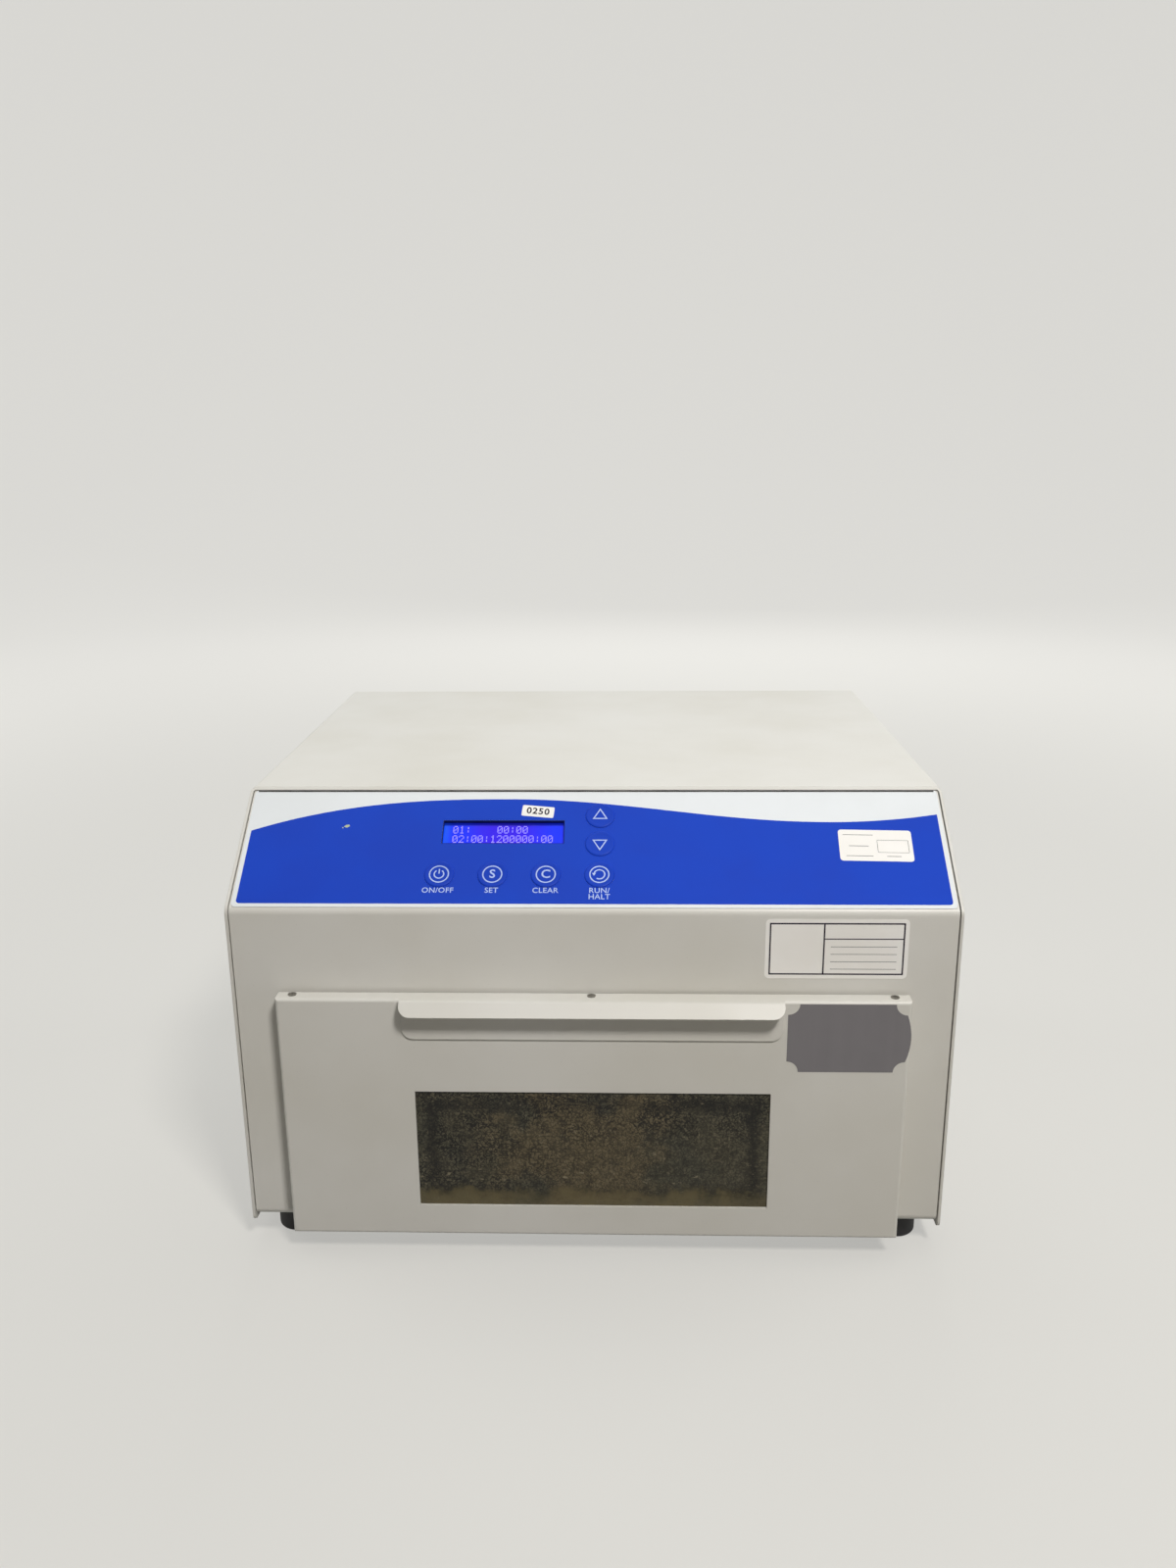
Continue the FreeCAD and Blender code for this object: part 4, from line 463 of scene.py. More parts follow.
def makePane(s):
    material, tree, shader, place = startMaterial("filter_pane", Specular_IOR_Level=0.3)
    parts = addNode(tree, "ShaderNodeSeparateXYZ", {"Vector": place})
    x, z = parts.outputs["X"], parts.outputs["Z"]
    wander = noise(tree, place, 46.0, 6.0, 0.62)
    fine = noise(tree, place, 420.0, 4.0, 0.75)
    mottle = noise(tree, place, 150.0, 4.0, 0.72)
    fromMiddle = calc(tree, "ABSOLUTE", calc(tree, "SUBTRACT", x, s["centreX"]))
    shifted = calc(tree, "ADD", fromMiddle, calc(tree, "MULTIPLY", calc(tree, "SUBTRACT", wander, 0.5), 0.09))
    base = mixed(tree, spread(tree, shifted, 0.030, 0.068), srgb(*s["brown"]), srgb(*s["olive"]))
    base = mixed(tree, spread(tree, noise(tree, place, 30.0, 3.0), 0.48, 0.62), base, srgb(*s["grey"]))

    base = mixed(tree, calc(tree, "MULTIPLY", spread(tree, mottle, 0.51, 0.38), 0.48), base, srgb(*s["dark"]))
    base = mixed(tree, calc(tree, "MULTIPLY", spread(tree, mottle, 0.55, 0.70), 0.26), base, srgb(*s["pale"]))
    base = mixed(tree, calc(tree, "MULTIPLY", spread(tree, fine, 0.46, 0.34), 0.34), base, srgb(*s["dark"]))

    # distance to the nearest edge of the cut-out, shaken a little
    toSide = calc(tree, "SUBTRACT", s["halfWide"], calc(tree, "ABSOLUTE", x))
    toEnd = calc(tree, "MINIMUM", calc(tree, "SUBTRACT", s["high"], z), calc(tree, "SUBTRACT", z, s["low"]))
    toEdge = addNode(tree, "ShaderNodeMath", {0: toSide, 1: toEnd, 2: 0.008}, operation="SMOOTH_MIN").outputs[0]
    toEdge = calc(tree, "ADD", toEdge, calc(tree, "MULTIPLY", calc(tree, "SUBTRACT", wander, 0.5), 0.016))
    off = calc(tree, "ABSOLUTE", calc(tree, "SUBTRACT", toEdge, s["tideIn"]))
    tide = calc(tree, "MULTIPLY", spread(tree, off, s["tideWide"], 0.0005), spread(tree, fine, 0.30, 0.55))
    cornerward = spread(tree, calc(tree, "ADD", fromMiddle, calc(tree, "MULTIPLY", z, 0.35)), 0.055, 0.112)
    tide = calc(tree, "MULTIPLY", tide, calc(tree, "ADD", 0.40, calc(tree, "MULTIPLY", cornerward, 0.52)))
    base = mixed(tree, tide, base, srgb(*s["dark"]))
    base = mixed(tree, calc(tree, "MULTIPLY", spread(tree, toEdge, 0.0042, 0.0012), 0.5), base, srgb(*s["rim"]))

    # crazing: worm-like dark lines, strongest high up and on the left
    shake = addNode(tree, "ShaderNodeTexNoise", {"Vector": place, "Scale": 260.0, "Detail": 2.0})
    warp = addNode(tree, "ShaderNodeVectorMath", {0: shake.outputs["Color"], 1: (0.0016, 0.0016, 0.0016), 2: place},
                   operation="MULTIPLY_ADD")
    worms = calc(tree, "ABSOLUTE", calc(tree, "SUBTRACT", noise(tree, warp.outputs[0], s["cellScale"], 1.0), 0.5))
    cells = addNode(tree, "ShaderNodeTexVoronoi", {"Vector": warp.outputs[0], "Scale": s["cellScale"]},
                    feature="DISTANCE_TO_EDGE")
    lines = calc(tree, "MAXIMUM", spread(tree, worms, 0.090, 0.030),
                 calc(tree, "MULTIPLY", spread(tree, cells.outputs["Distance"], 0.11, 0.02), 0.6))
    upper = spread(tree, z, s["low"] + 0.030, s["high"] - 0.012)
    leftward = spread(tree, x, 0.01, -0.08)
    where = calc(tree, "MULTIPLY", calc(tree, "MAXIMUM", upper, leftward),
                 spread(tree, noise(tree, place, 60.0, 3.0), 0.36, 0.56))
    cracks = calc(tree, "MULTIPLY", lines, calc(tree, "ADD", 0.55, calc(tree, "MULTIPLY", where, 0.42)))
    stripTop = s["low"] + s["stripTall"]
    notStrip = spread(tree, calc(tree, "ADD", z, calc(tree, "MULTIPLY", calc(tree, "SUBTRACT", wander, 0.5), 0.026)),
                      stripTop - 0.002, stripTop + 0.004)
    cracks = calc(tree, "MULTIPLY", cracks, calc(tree, "ADD", 0.25, calc(tree, "MULTIPLY", notStrip, 0.75)))
    base = mixed(tree, cracks, base, srgb(*s["dark"]))
    # painted highlight: pale glints from fine noise, scattered over the crazed area above the foot strip
    painted_glint = calc(tree, "MULTIPLY", spread(tree, fine, 0.58, 0.72), calc(tree, "MULTIPLY", notStrip, 0.38))
    base = mixed(tree, painted_glint, base, srgb(*s["pale"]))

    # a smooth paler strip along the foot, then pale flecks and short streaks above it
    stripShare = spread(tree, wander, 0.40, 0.58, 0.66, 0.30)
    base = mixed(tree, calc(tree, "MULTIPLY", calc(tree, "SUBTRACT", 1.0, notStrip), stripShare), base, srgb(*s["strip"]))
    flecks = spread(tree, noise(tree, stretch(tree, place, (0.6, 1.0, 1.3)), 270.0, 4.0, 0.6), 0.63, 0.72)
    low = calc(tree, "MULTIPLY", spread(tree, z, s["low"] + 0.038, s["low"] + 0.014), notStrip)
    base = mixed(tree, calc(tree, "MULTIPLY", flecks, calc(tree, "MULTIPLY", low, 0.62)), base, srgb(*s["pale"]))
    height = calc(tree, "SUBTRACT", calc(tree, "MULTIPLY", fine, 0.6), lines)
    join(tree, shader, Base_Color=base, Roughness=spread(tree, wander, 0.3, 0.7, 0.42, 0.62),
         Normal=bumped(tree, calc(tree, "MULTIPLY", height, notStrip), 0.35, 0.00012))
    return material


finishes["pane"] = makePane(paneSet)


def makeSensorGlass():
    material, tree, shader, place = startMaterial("sensor_window", Coat_Weight=1.0, Coat_Roughness=0.03)
    grain = useGroup(tree, "grain", Vector=place, Grain_Scale=500.0, Blotch_Scale=160.0)
    join(tree, shader, Base_Color=mixed(tree, grain.outputs["Blotch"], srgb(28, 24, 52), srgb(46, 38, 84)),
         Roughness=spread(tree, grain.outputs["Blotch"], 0.2, 0.8, 0.08, 0.16))
    return material


finishes["sensorGlass"] = makeSensorGlass()


def makeBoard(s):
    material, tree, shader, place = startMaterial("board_green", Coat_Weight=0.35, Coat_Roughness=0.2)
    grain = useGroup(tree, "grain", Vector=place, Grain_Scale=900.0, Blotch_Scale=40.0)
    tracks = []
    for turn in (0.0, math.pi / 2):
        turned = addNode(tree, "ShaderNodeMapping", {"Vector": place, "Rotation": (0.0, 0.0, turn)}).outputs[0]
        bands = addNode(tree, "ShaderNodeTexWave", {"Vector": turned, "Scale": s["trackScale"], "Distortion": 0.0})
        gate = spread(tree, noise(tree, turned, 70.0 + 20 * turn, 0.0), 0.52, 0.53)
        tracks.append(calc(tree, "MULTIPLY", calc(tree, "GREATER_THAN", bands.outputs["Fac"], 0.72), gate))
    line = calc(tree, "MAXIMUM", *tracks)
    pads = addNode(tree, "ShaderNodeTexVoronoi", {"Vector": place, "Scale": s["padScale"]}, feature="F1")
    pad = spread(tree, pads.outputs["Distance"], 0.20, 0.16)
    base = mixed(tree, grain.outputs["Blotch"], srgb(*s["mask"]), srgb(*s["second"]))
    base = mixed(tree, calc(tree, "MULTIPLY", line, 0.7), base, srgb(*s["track"]))
    base = mixed(tree, pad, base, srgb(*s["pad"]))
    join(tree, shader, Base_Color=base, Metallic=calc(tree, "MULTIPLY", pad, 0.9),
         Roughness=spread(tree, grain.outputs["Blotch"], 0.2, 0.8, 0.3, 0.42),
         Normal=bumped(tree, calc(tree, "MAXIMUM", line, pad), 0.4, 0.00006))
    return material


finishes["board"] = makeBoard({"mask": (18, 84, 52), "second": (14, 70, 44), "track": (46, 124, 78),
                               "pad": (196, 194, 184), "trackScale": 260.0, "padScale": 210.0})


def makeRibbonFinish(s):
    material, tree, shader, place = startMaterial("ribbon_grey", Specular_IOR_Level=0.4)
    parts = addNode(tree, "ShaderNodeSeparateXYZ", {"Vector": place})
    across = calc(tree, "DIVIDE", calc(tree, "SUBTRACT", parts.outputs["X"], s["left"]), s["pitch"])
    wave = calc(tree, "ABSOLUTE", calc(tree, "SUBTRACT", calc(tree, "FRACT", across), 0.5))
    grain = useGroup(tree, "grain", Vector=place, Grain_Scale=800.0, Blotch_Scale=60.0)
    # painted shade: the colour darkens in the grooves between the wires
    base = mixed(tree, spread(tree, wave, 0.30, 0.48), srgb(*s["colour"]), srgb(*s["groove_painted_shade"]))
    base = mixed(tree, calc(tree, "LESS_THAN", across, 1.0), base, srgb(*s["edge"]))
    join(tree, shader, Base_Color=base, Roughness=spread(tree, grain.outputs["Blotch"], 0.2, 0.8, 0.42, 0.55),
         Normal=bumped(tree, spread(tree, wave, 0.5, 0.2), 0.8, 0.0003))
    return material


finishes["ribbon"] = makeRibbonFinish({"left": -0.099, "pitch": 0.00127, "colour": (168, 170, 172),
                                       "groove_painted_shade": (128, 130, 133), "edge": (150, 40, 38)})


def makeFuseGlass(s):
    material, tree, shader, place = startMaterial("fuse_glass", Coat_Weight=0.8, Coat_Roughness=0.05)
    parts = addNode(tree, "ShaderNodeSeparateXYZ", {"Vector": place})
    away = calc(tree, "ABSOLUTE", calc(tree, "SUBTRACT", parts.outputs["Y"], s["middle"]))
    cap = calc(tree, "GREATER_THAN", away, s["capStart"])
    grain = useGroup(tree, "grain", Vector=place, Grain_Scale=800.0, Blotch_Scale=200.0)
    glass = mixed(tree, grain.outputs["Blotch"], srgb(176, 186, 186), srgb(140, 150, 152))
    join(tree, shader, Base_Color=mixed(tree, cap, glass, srgb(196, 192, 182)), Metallic=cap,
         Roughness=spread(tree, grain.outputs["Blotch"], 0.2, 0.8, 0.12, 0.24))
    return material


lowFuse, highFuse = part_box("fuses")
finishes["fuse"] = makeFuseGlass({"middle": (lowFuse.y + highFuse.y) / 2, "capStart": (highFuse.y - lowFuse.y) * 0.34})


# Display: a lit blue liquid crystal, more violet to the right

displaySet = {
    "edge": (16, 84, 238), "middle": (52, 24, 226), "side": (22, 48, 246), "shadow": (8, 22, 120),
    "glow": 0.24, "litRough": 0.16, "rimTall": 0.0016,
}


def makeDisplayGlass(s):
    low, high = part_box("display_glass")
    material, tree, shader, place = startMaterial("display_blue", Emission_Strength=s["glow"],
                                                  Specular_IOR_Level=0.15)
    parts = addNode(tree, "ShaderNodeSeparateXYZ", {"Vector": place})
    wander = calc(tree, "MULTIPLY", noise(tree, place, 60.0, 2.0), 0.5)
    across = addNode(tree, "ShaderNodeMapRange", {"Value": parts.outputs["X"], "From Min": low.x,
                                                  "From Max": high.x}).outputs[0]
    upward = addNode(tree, "ShaderNodeMapRange", {"Value": parts.outputs["Z"], "From Min": low.z,
                                                  "From Max": high.z}).outputs[0]
    off = calc(tree, "ABSOLUTE", calc(tree, "SUBTRACT", across, 0.52))
    glow = mixed(tree, spread(tree, calc(tree, "ADD", off, calc(tree, "MULTIPLY", wander, 0.3)), 0.16, 0.46),
                 srgb(*s["middle"]), srgb(*s["side"]))
    rim = calc(tree, "MAXIMUM", spread(tree, across, 0.10, 0.04), spread(tree, upward, 0.26, 0.13))
    glow = mixed(tree, calc(tree, "MULTIPLY", rim, 0.8), glow, srgb(*s["edge"]))
    glow = mixed(tree, calc(tree, "MULTIPLY", spread(tree, upward, 0.80, 0.88), 0.8), glow, srgb(*s["shadow"]))
    join(tree, shader, Base_Color=glow, Emission_Color=glow,
         Roughness=spread(tree, wander, 0.1, 0.4, s["litRough"], s["litRough"] + 0.1))
    return material


finishes["display"] = makeDisplayGlass(displaySet)


def makeDotGlow():
    material, tree, shader, place = startMaterial("display_dots", Emission_Strength=0.30)
    wander = noise(tree, place, 400.0, 2.0)
    glow = mixed(tree, wander, srgb(146, 138, 250), srgb(170, 156, 255))
    join(tree, shader, Base_Color=glow, Emission_Color=glow, Roughness=spread(tree, wander, 0.3, 0.7, 0.3, 0.4))
    return material


finishes["dots"] = makeDotGlow()


# Silver sticker: brushed foil with pale scratches

def makeFoil(s):
    material, tree, shader, place = startMaterial("silver_foil", Metallic=0.75, Specular_IOR_Level=0.5)
    rolled = useGroup(tree, "rolled", Vector=place, Along=(1.0, 1.0, 0.04), Scale=2200.0)
    grain = useGroup(tree, "grain", Vector=place, Grain_Scale=1600.0, Blotch_Scale=42.0)
    lines = useGroup(tree, "scratch", Vector=place, Scale=120.0, Width=0.025, Share=0.3)
    base = mixed(tree, rolled.outputs["Streak"], srgb(*s["colour"]), srgb(*s["second"]))
    base = mixed(tree, calc(tree, "MULTIPLY", lines.outputs["Lines"], 0.4), base, srgb(*s["scratch"]))
    join(tree, shader, Base_Color=base, Roughness=spread(tree, grain.outputs["Blotch"], 0.25, 0.75, 0.34, 0.5),
         Normal=bumped(tree, rolled.outputs["Height"], 0.15, 0.00002))
    return material


finishes["foil"] = makeFoil({"colour": (126, 123, 126), "second": (119, 116, 119), "scratch": (168, 166, 168)})
finishes["ballastCase"] = makePlastic("ballast_enamel", (196, 196, 190), (178, 178, 170), 0.34)
finishes["powerParts"] = makePlastic("part_epoxy", (44, 46, 60), (30, 32, 40), 0.32)
print("finishes:", len(finishes))


# Which finish each CAD node takes

nodeFinish = {
    "paint": ["outer_cover", "front_panel", "rear_panel", "door_skin", "door_inner_panel", "handle"],
    "baseSteel": ["base_pan", "liner_rails", "board_studs"],
    "rubber": [f"foot_{end}_{side}" for end in ("front", "rear") for side in ("left", "right")],
    "screwSteel": ["foot_screws", "rear_screws", "door_screws", "handle_screws"],
    "brightSheet": ["chamber_liner", "lamp_reflector", "window_retainer"],
    "hingeSteel": ["hinge_fixed_leaf", "hinge_door_leaf", "hinge_pin"],
    "lampGlass": [f"lamp_tube_{number}" for number in range(1, 6)],
    "capMetal": ["lamp_caps"], "brass": ["lamp_pins", "inlet_blades"], "whitePlastic": ["lamp_holders"],
    "blackPlastic": ["sensor_housing", "display_bezel", "power_inlet", "fuse_drawer", "key_switches"],
    "greyPlastic": ["interlock_plunger", "interlock_switch", "retainer_posts"],
    "sensorGlass": ["sensor_lens"], "pane": ["window_pane"], "magnet": ["catch_magnets"],
    "whiteFilm": ["control_overlay"],
    "keyFilm": ["key_power", "key_mode", "key_reset", "key_start", "key_up", "key_down"],
    "display": ["display_glass"], "board": ["display_board", "control_board", "power_board"],
    "ballastCase": ["ballasts"], "powerParts": ["power_parts"], "ribbon": ["ribbon_cable"], "fuse": ["fuses"],
}


def dress(thing, finish):
    thing.data.materials.clear()
    thing.data.materials.append(finishes[finish])
    return thing


for finish, names in nodeFinish.items():
    for name in names:
        dress(cadNodes[name], finish)
plain = sorted(set(cadNodes) - {name for names in nodeFinish.values() for name in names})
print("nodes without a finish:", plain)


# Mesh helpers: everything is made flat, then set in place in the mesh itself

def finishPiece(name, mesh, where, finish, body):
    mesh.transform(where)
    clean = bmesh.new()
    clean.from_mesh(mesh)
    bmesh.ops.remove_doubles(clean, verts=clean.verts, dist=1e-7)
    bmesh.ops.recalc_face_normals(clean, faces=clean.faces)
    clean.to_mesh(mesh)
    clean.free()
    mesh.name = name
    piece = bpy.data.objects.new(name, mesh)
    scene.collection.objects.link(piece)
    dress(piece, finish)
    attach(piece, body)
    return piece


def meshOf(thing):
    bpy.context.view_layer.update()
    seen = bpy.context.evaluated_depsgraph_get()
    mesh = bpy.data.meshes.new_from_object(thing.evaluated_get(seen), depsgraph=seen)
    data = thing.data
    bpy.data.objects.remove(thing)
    if isinstance(data, bpy.types.Curve):
        bpy.data.curves.remove(data)
    return mesh


def flatMesh(loops, thick):
    curve = bpy.data.curves.new("outline", "CURVE")
    curve.dimensions, curve.fill_mode, curve.extrude = "2D", "BOTH", thick / 2
    for loop in loops:
        spline = curve.splines.new("POLY")
        spline.points.add(len(loop) - 1)
        for spot, (x, y) in zip(spline.points, loop):
            spot.co = (x, y, 0, 1)
        spline.use_cyclic_u = True
    holder = bpy.data.objects.new("outline", curve)
    scene.collection.objects.link(holder)
    mesh = meshOf(holder)
    mesh.transform(Matrix.Translation((0, 0, thick / 2)))
    return mesh


def wordMesh(words, tall, thick, spacing=1.0, bold=0.0):
    curve = bpy.data.curves.new("words", "FONT")
    curve.body, curve.size, curve.extrude = words, tall / 0.7, thick / 2
    curve.align_x, curve.align_y = "CENTER", "CENTER"
    curve.space_character, curve.space_line = spacing, 0.8
    curve.resolution_u, curve.offset = 3, bold
    holder = bpy.data.objects.new("words", curve)
    scene.collection.objects.link(holder)
    mesh = meshOf(holder)
    mesh.transform(Matrix.Translation((0, 0, thick / 2)))
    return mesh


def circle(radius, steps=48, x=0.0, y=0.0, start=0.0, end=2 * math.pi):
    whole = abs(end - start) > 2 * math.pi - 1e-6
    last = steps if whole else steps + 1
    return [(x + radius * math.cos(start + (end - start) * step / steps),
             y + radius * math.sin(start + (end - start) * step / steps)) for step in range(last)]


def roundedRectangle(wide, tall, radius, x=0.0, y=0.0, steps=6):
    loop = []
    for corner, (side, end) in enumerate(((1, 1), (-1, 1), (-1, -1), (1, -1))):
        middle = (x + side * (wide / 2 - radius), y + end * (tall / 2 - radius))
        start = corner * math.pi / 2
        loop += circle(radius, steps, *middle, start, start + math.pi / 2)
    return loop


def barLoop(x, y, wide, tall):
    return [((x + i * wide / 2) * mm, (y + j * tall / 2) * mm) for i, j in ((-1, -1), (1, -1), (1, 1), (-1, 1))]


# Slope of the control panel: x across, up from the overlay's lower edge, out from its face

slopeTilt = math.atan2(51.4, 67.2)
overlayLow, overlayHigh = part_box("control_overlay")
filmThick = 0.5 * mm
slopeLong = (overlayHigh.y - overlayLow.y - filmThick * math.sin(slopeTilt)) / math.cos(slopeTilt)
slopeFoot = Vector((0, overlayLow.y, overlayHigh.z - slopeLong * math.sin(slopeTilt)))
slopeTurn = Matrix(((1, 0, 0), (0, math.cos(slopeTilt), -math.sin(slopeTilt)),
                    (0, math.sin(slopeTilt), math.cos(slopeTilt)))).to_4x4()


def onSlope(x, up, out=0.0, turn=0.0):
    spot = slopeFoot + Vector((x, 0, 0)) + slopeTurn.to_3x3() @ Vector((0, up, out))
    return Matrix.Translation(spot) @ slopeTurn @ Matrix.Rotation(turn, 4, "Z")


# Blue field printed on the overlay, with a plain wave along its upper edge

fieldSet = {
    "left": -196.6, "right": 196.8, "low": 2.2, "corner": 2.0, "thick": 0.05,
    "crestX": -48, "crestUp": 73.2, "fall": 22.3, "fallPower": 2.6,
    "troughX": 136, "troughUp": 57.1, "rise": 6.0, "riseReach": 64, "steps": 96,
    "keyHole": 8.54, "windowWide": 70.0, "windowTall": 16.2,
}
keySet = {
    "row": {"key_power": 21.2, "key_mode": 21.2, "key_reset": 21.2, "key_start": 21.2,
            "key_down": 42.0, "key_up": 61.4},
    "windowX": -51.0, "windowUp": 50.1,
}


def waveUp(x, s):
    if x < s["crestX"]:
        return s["crestUp"] - s["fall"] * ((s["crestX"] - x) / (s["crestX"] - s["left"])) ** s["fallPower"]
    if x < s["troughX"]:
        turn = math.pi * (x - s["crestX"]) / (s["troughX"] - s["crestX"])
        return (s["crestUp"] + s["troughUp"]) / 2 + (s["crestUp"] - s["troughUp"]) / 2 * math.cos(turn)
    return s["troughUp"] + s["rise"] * ((x - s["troughX"]) / s["riseReach"]) ** 2


def keyPlace(name):
    low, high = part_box(name)
    return (low.x + high.x) / 2, keySet["row"][name] * mm


def makeField(s):
    loop = circle(s["corner"], 5, s["left"] + s["corner"], s["low"] + s["corner"], math.pi, 1.5 * math.pi)
    loop += circle(s["corner"], 5, s["right"] - s["corner"], s["low"] + s["corner"], 1.5 * math.pi, 2 * math.pi)
    for step in range(s["steps"] + 1):
        x = s["right"] + (s["left"] - s["right"]) * step / s["steps"]
        loop.append((x, waveUp(x, s)))
    holes = [circle(s["keyHole"], 40, keyPlace(name)[0] / mm, keySet["row"][name]) for name in keySet["row"]]
    holes.append(roundedRectangle(s["windowWide"], s["windowTall"], 0.2, keySet["windowX"], keySet["windowUp"], 1))
    loops = [[(x * mm, y * mm) for x, y in one] for one in [loop, *holes]]
    finishPiece("overlay_blue_field", flatMesh(loops, s["thick"] * mm), onSlope(0, 0), "blueFilm", "casing")


makeField(fieldSet)

# Walls of the display cut-out, dark navy all round: painted shade for the recess
shadeLinerSet = {"wide": 69.9, "tall": 16.1, "wall": 0.3, "deep": 1.9, "inset": 0.05}


def makeShadeLiner(s):
    loops = [[(x * mm, y * mm) for x, y in roundedRectangle(s["wide"] - cut, s["tall"] - cut, 0.2, steps=2)]
             for cut in (0, 2 * s["wall"])]
    where = onSlope(keySet["windowX"] * mm, keySet["windowUp"] * mm, -(s["deep"] + s["inset"]) * mm)
    finishPiece("display_window_shade_liner", flatMesh(loops, s["deep"] * mm), where, "linerPaintedShade", "casing")


makeShadeLiner(shadeLinerSet)

chipSet = {"spots": ((-141.5, 54.0, 3.6, 1.9, 0.35), (-143.8, 53.0, 1.2, 0.9, -0.3)), "points": 11, "seed": 5}


def makeChips(s):
    chance = random.Random(s["seed"])
    chips = []
    for x, up, wide, tall, turn in s["spots"]:
        loop = []
        for point in range(s["points"]):
            angle = 2 * math.pi * point / s["points"]
            reach = chance.uniform(0.30, 0.55)
            loop.append((wide * reach * math.cos(angle) * mm, tall * reach * math.sin(angle) * mm))
        chip = flatMesh([loop], 0.015 * mm)
        chip.transform(onSlope(x * mm, up * mm, fieldSet["thick"] * mm, turn))
        chips.append(chip)
    finishPiece("overlay_chips", joinMeshes(chips), Matrix.Identity(4), "chipTan", "casing")


# A thin black strip over the seam under the cover: painted shade for the dark gap there
gapShadeSet = {"wide": 394.5, "tall": 1.0, "thick": 0.22, "up": 79.0}


def makeGapShadeStrip(s):
    strip = flatMesh([barLoop(0, 0, s["wide"], s["tall"])], s["thick"] * mm)
    finishPiece("panel_gap_shade_strip", strip, onSlope(0, s["up"] * mm, 0.02 * mm), "rubber", "casing")


makeGapShadeStrip(gapShadeSet)


# Key caps: soft rimmed and slightly dished, on the stems that reach the switches

capSet = {
    "dish": 0.50, "steps": 64, "stemRadius": 3.0,
    "rim": ((5.5, 0.50), (6.0, 0.52), (6.4, 0.57), (6.8, 0.64), (7.1, 0.69), (7.4, 0.71), (7.7, 0.69), (7.95, 0.62),
            (8.15, 0.52), (8.32, 0.38), (8.44, 0.22), (8.5, 0.12), (8.5, 0.05), (8.4, 0.02)),
}


def lathe(profile, steps):
    mesh = bpy.data.meshes.new("turned")
    made = bmesh.new()
    rings = []
    for radius, high in profile:
        if radius < 1e-9:
            rings.append([made.verts.new((0, 0, high))])
        else:
            rings.append([made.verts.new((x, y, high)) for x, y in circle(radius, steps)])
    for first, second in zip(rings, rings[1:]):
        for step in range(steps):
            after = (step + 1) % steps
            corners = [first[step % len(first)], first[after % len(first)],
                       second[after % len(second)], second[step % len(second)]]
            made.faces.new(list(dict.fromkeys(corners)))
    made.to_mesh(mesh)
    made.free()
    mesh.polygons.foreach_set("use_smooth", [True] * len(mesh.polygons))
    return mesh


def makeCaps(s):
    for name in keySet["row"]:
        x, up = keyPlace(name)
        foot = onSlope(x, up).translation.z
        stemOut = (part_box(name)[0].z - foot + s["stemRadius"] * mm * math.sin(slopeTilt)) / math.cos(slopeTilt)
        stem = s["stemRadius"] * mm
        profile = [(0, s["dish"] * mm), *[(radius * mm, out * mm) for radius, out in s["rim"]],
                   (stem, s["rim"][-1][1] * mm), (stem, stemOut), (0, stemOut)]
        piece = finishPiece(name + "_cap", lathe(profile, s["steps"]), onSlope(x, up), "keyFilm", name)
        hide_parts(name)


makeCaps(capSet)


# Key prints: a ring, a sign inside it and a caption below

printSet = {
    "ring": 5.65, "line": 0.72, "thick": 0.04, "captionTall": 3.3, "captionDown": 10.4, "secondDown": 14.4,
    "letterTall": 5.4, "triangle": 5.0, "powerRing": 3.05, "arrowRing": 3.35, "bold": 0.10, "captionBold": 0.05,
}


def ringLoops(outer, line, steps=48):
    return [circle(outer * mm, steps), circle((outer - line) * mm, steps)]


def arcLoop(radius, line, start, end, steps=30):
    outside = circle(radius * mm, steps, start=start, end=end)
    return outside + circle((radius - line) * mm, steps, start=start, end=end)[::-1]


def triangleLoops(reach, line, flip=1):
    def three(size):
        return [(size * math.sin(turn) * mm, flip * size * math.cos(turn) * mm)
                for turn in (0, 2 * math.pi / 3, 4 * math.pi / 3)]
    return [three(reach), three(reach - 2 * line)]


def signMeshes(name, s):
    line = s["line"]
    if name == "key_power":
        ring = arcLoop(s["powerRing"], line, math.radians(125), math.radians(415))
        return [[ring], [barLoop(0, s["powerRing"] * 0.6, line, s["powerRing"])]]
    if name == "key_start":
        arrow = [(x * mm, y * mm) for x, y in ((-4.1, 0.9), (-1.9, 0.9), (-3.0, -1.0))]
        return [[arcLoop(s["arrowRing"], line, math.radians(-120), math.radians(165))], [arrow]]
    if name in ("key_up", "key_down"):
        return [triangleLoops(s["triangle"], line * 0.95, 1 if name == "key_up" else -1)]
    return []


def joinMeshes(meshes):
    joined = bmesh.new()
    for mesh in meshes:
        joined.from_mesh(mesh)
        bpy.data.meshes.remove(mesh)
    result = bpy.data.meshes.new("joined")
    joined.to_mesh(result)
    joined.free()
    return result


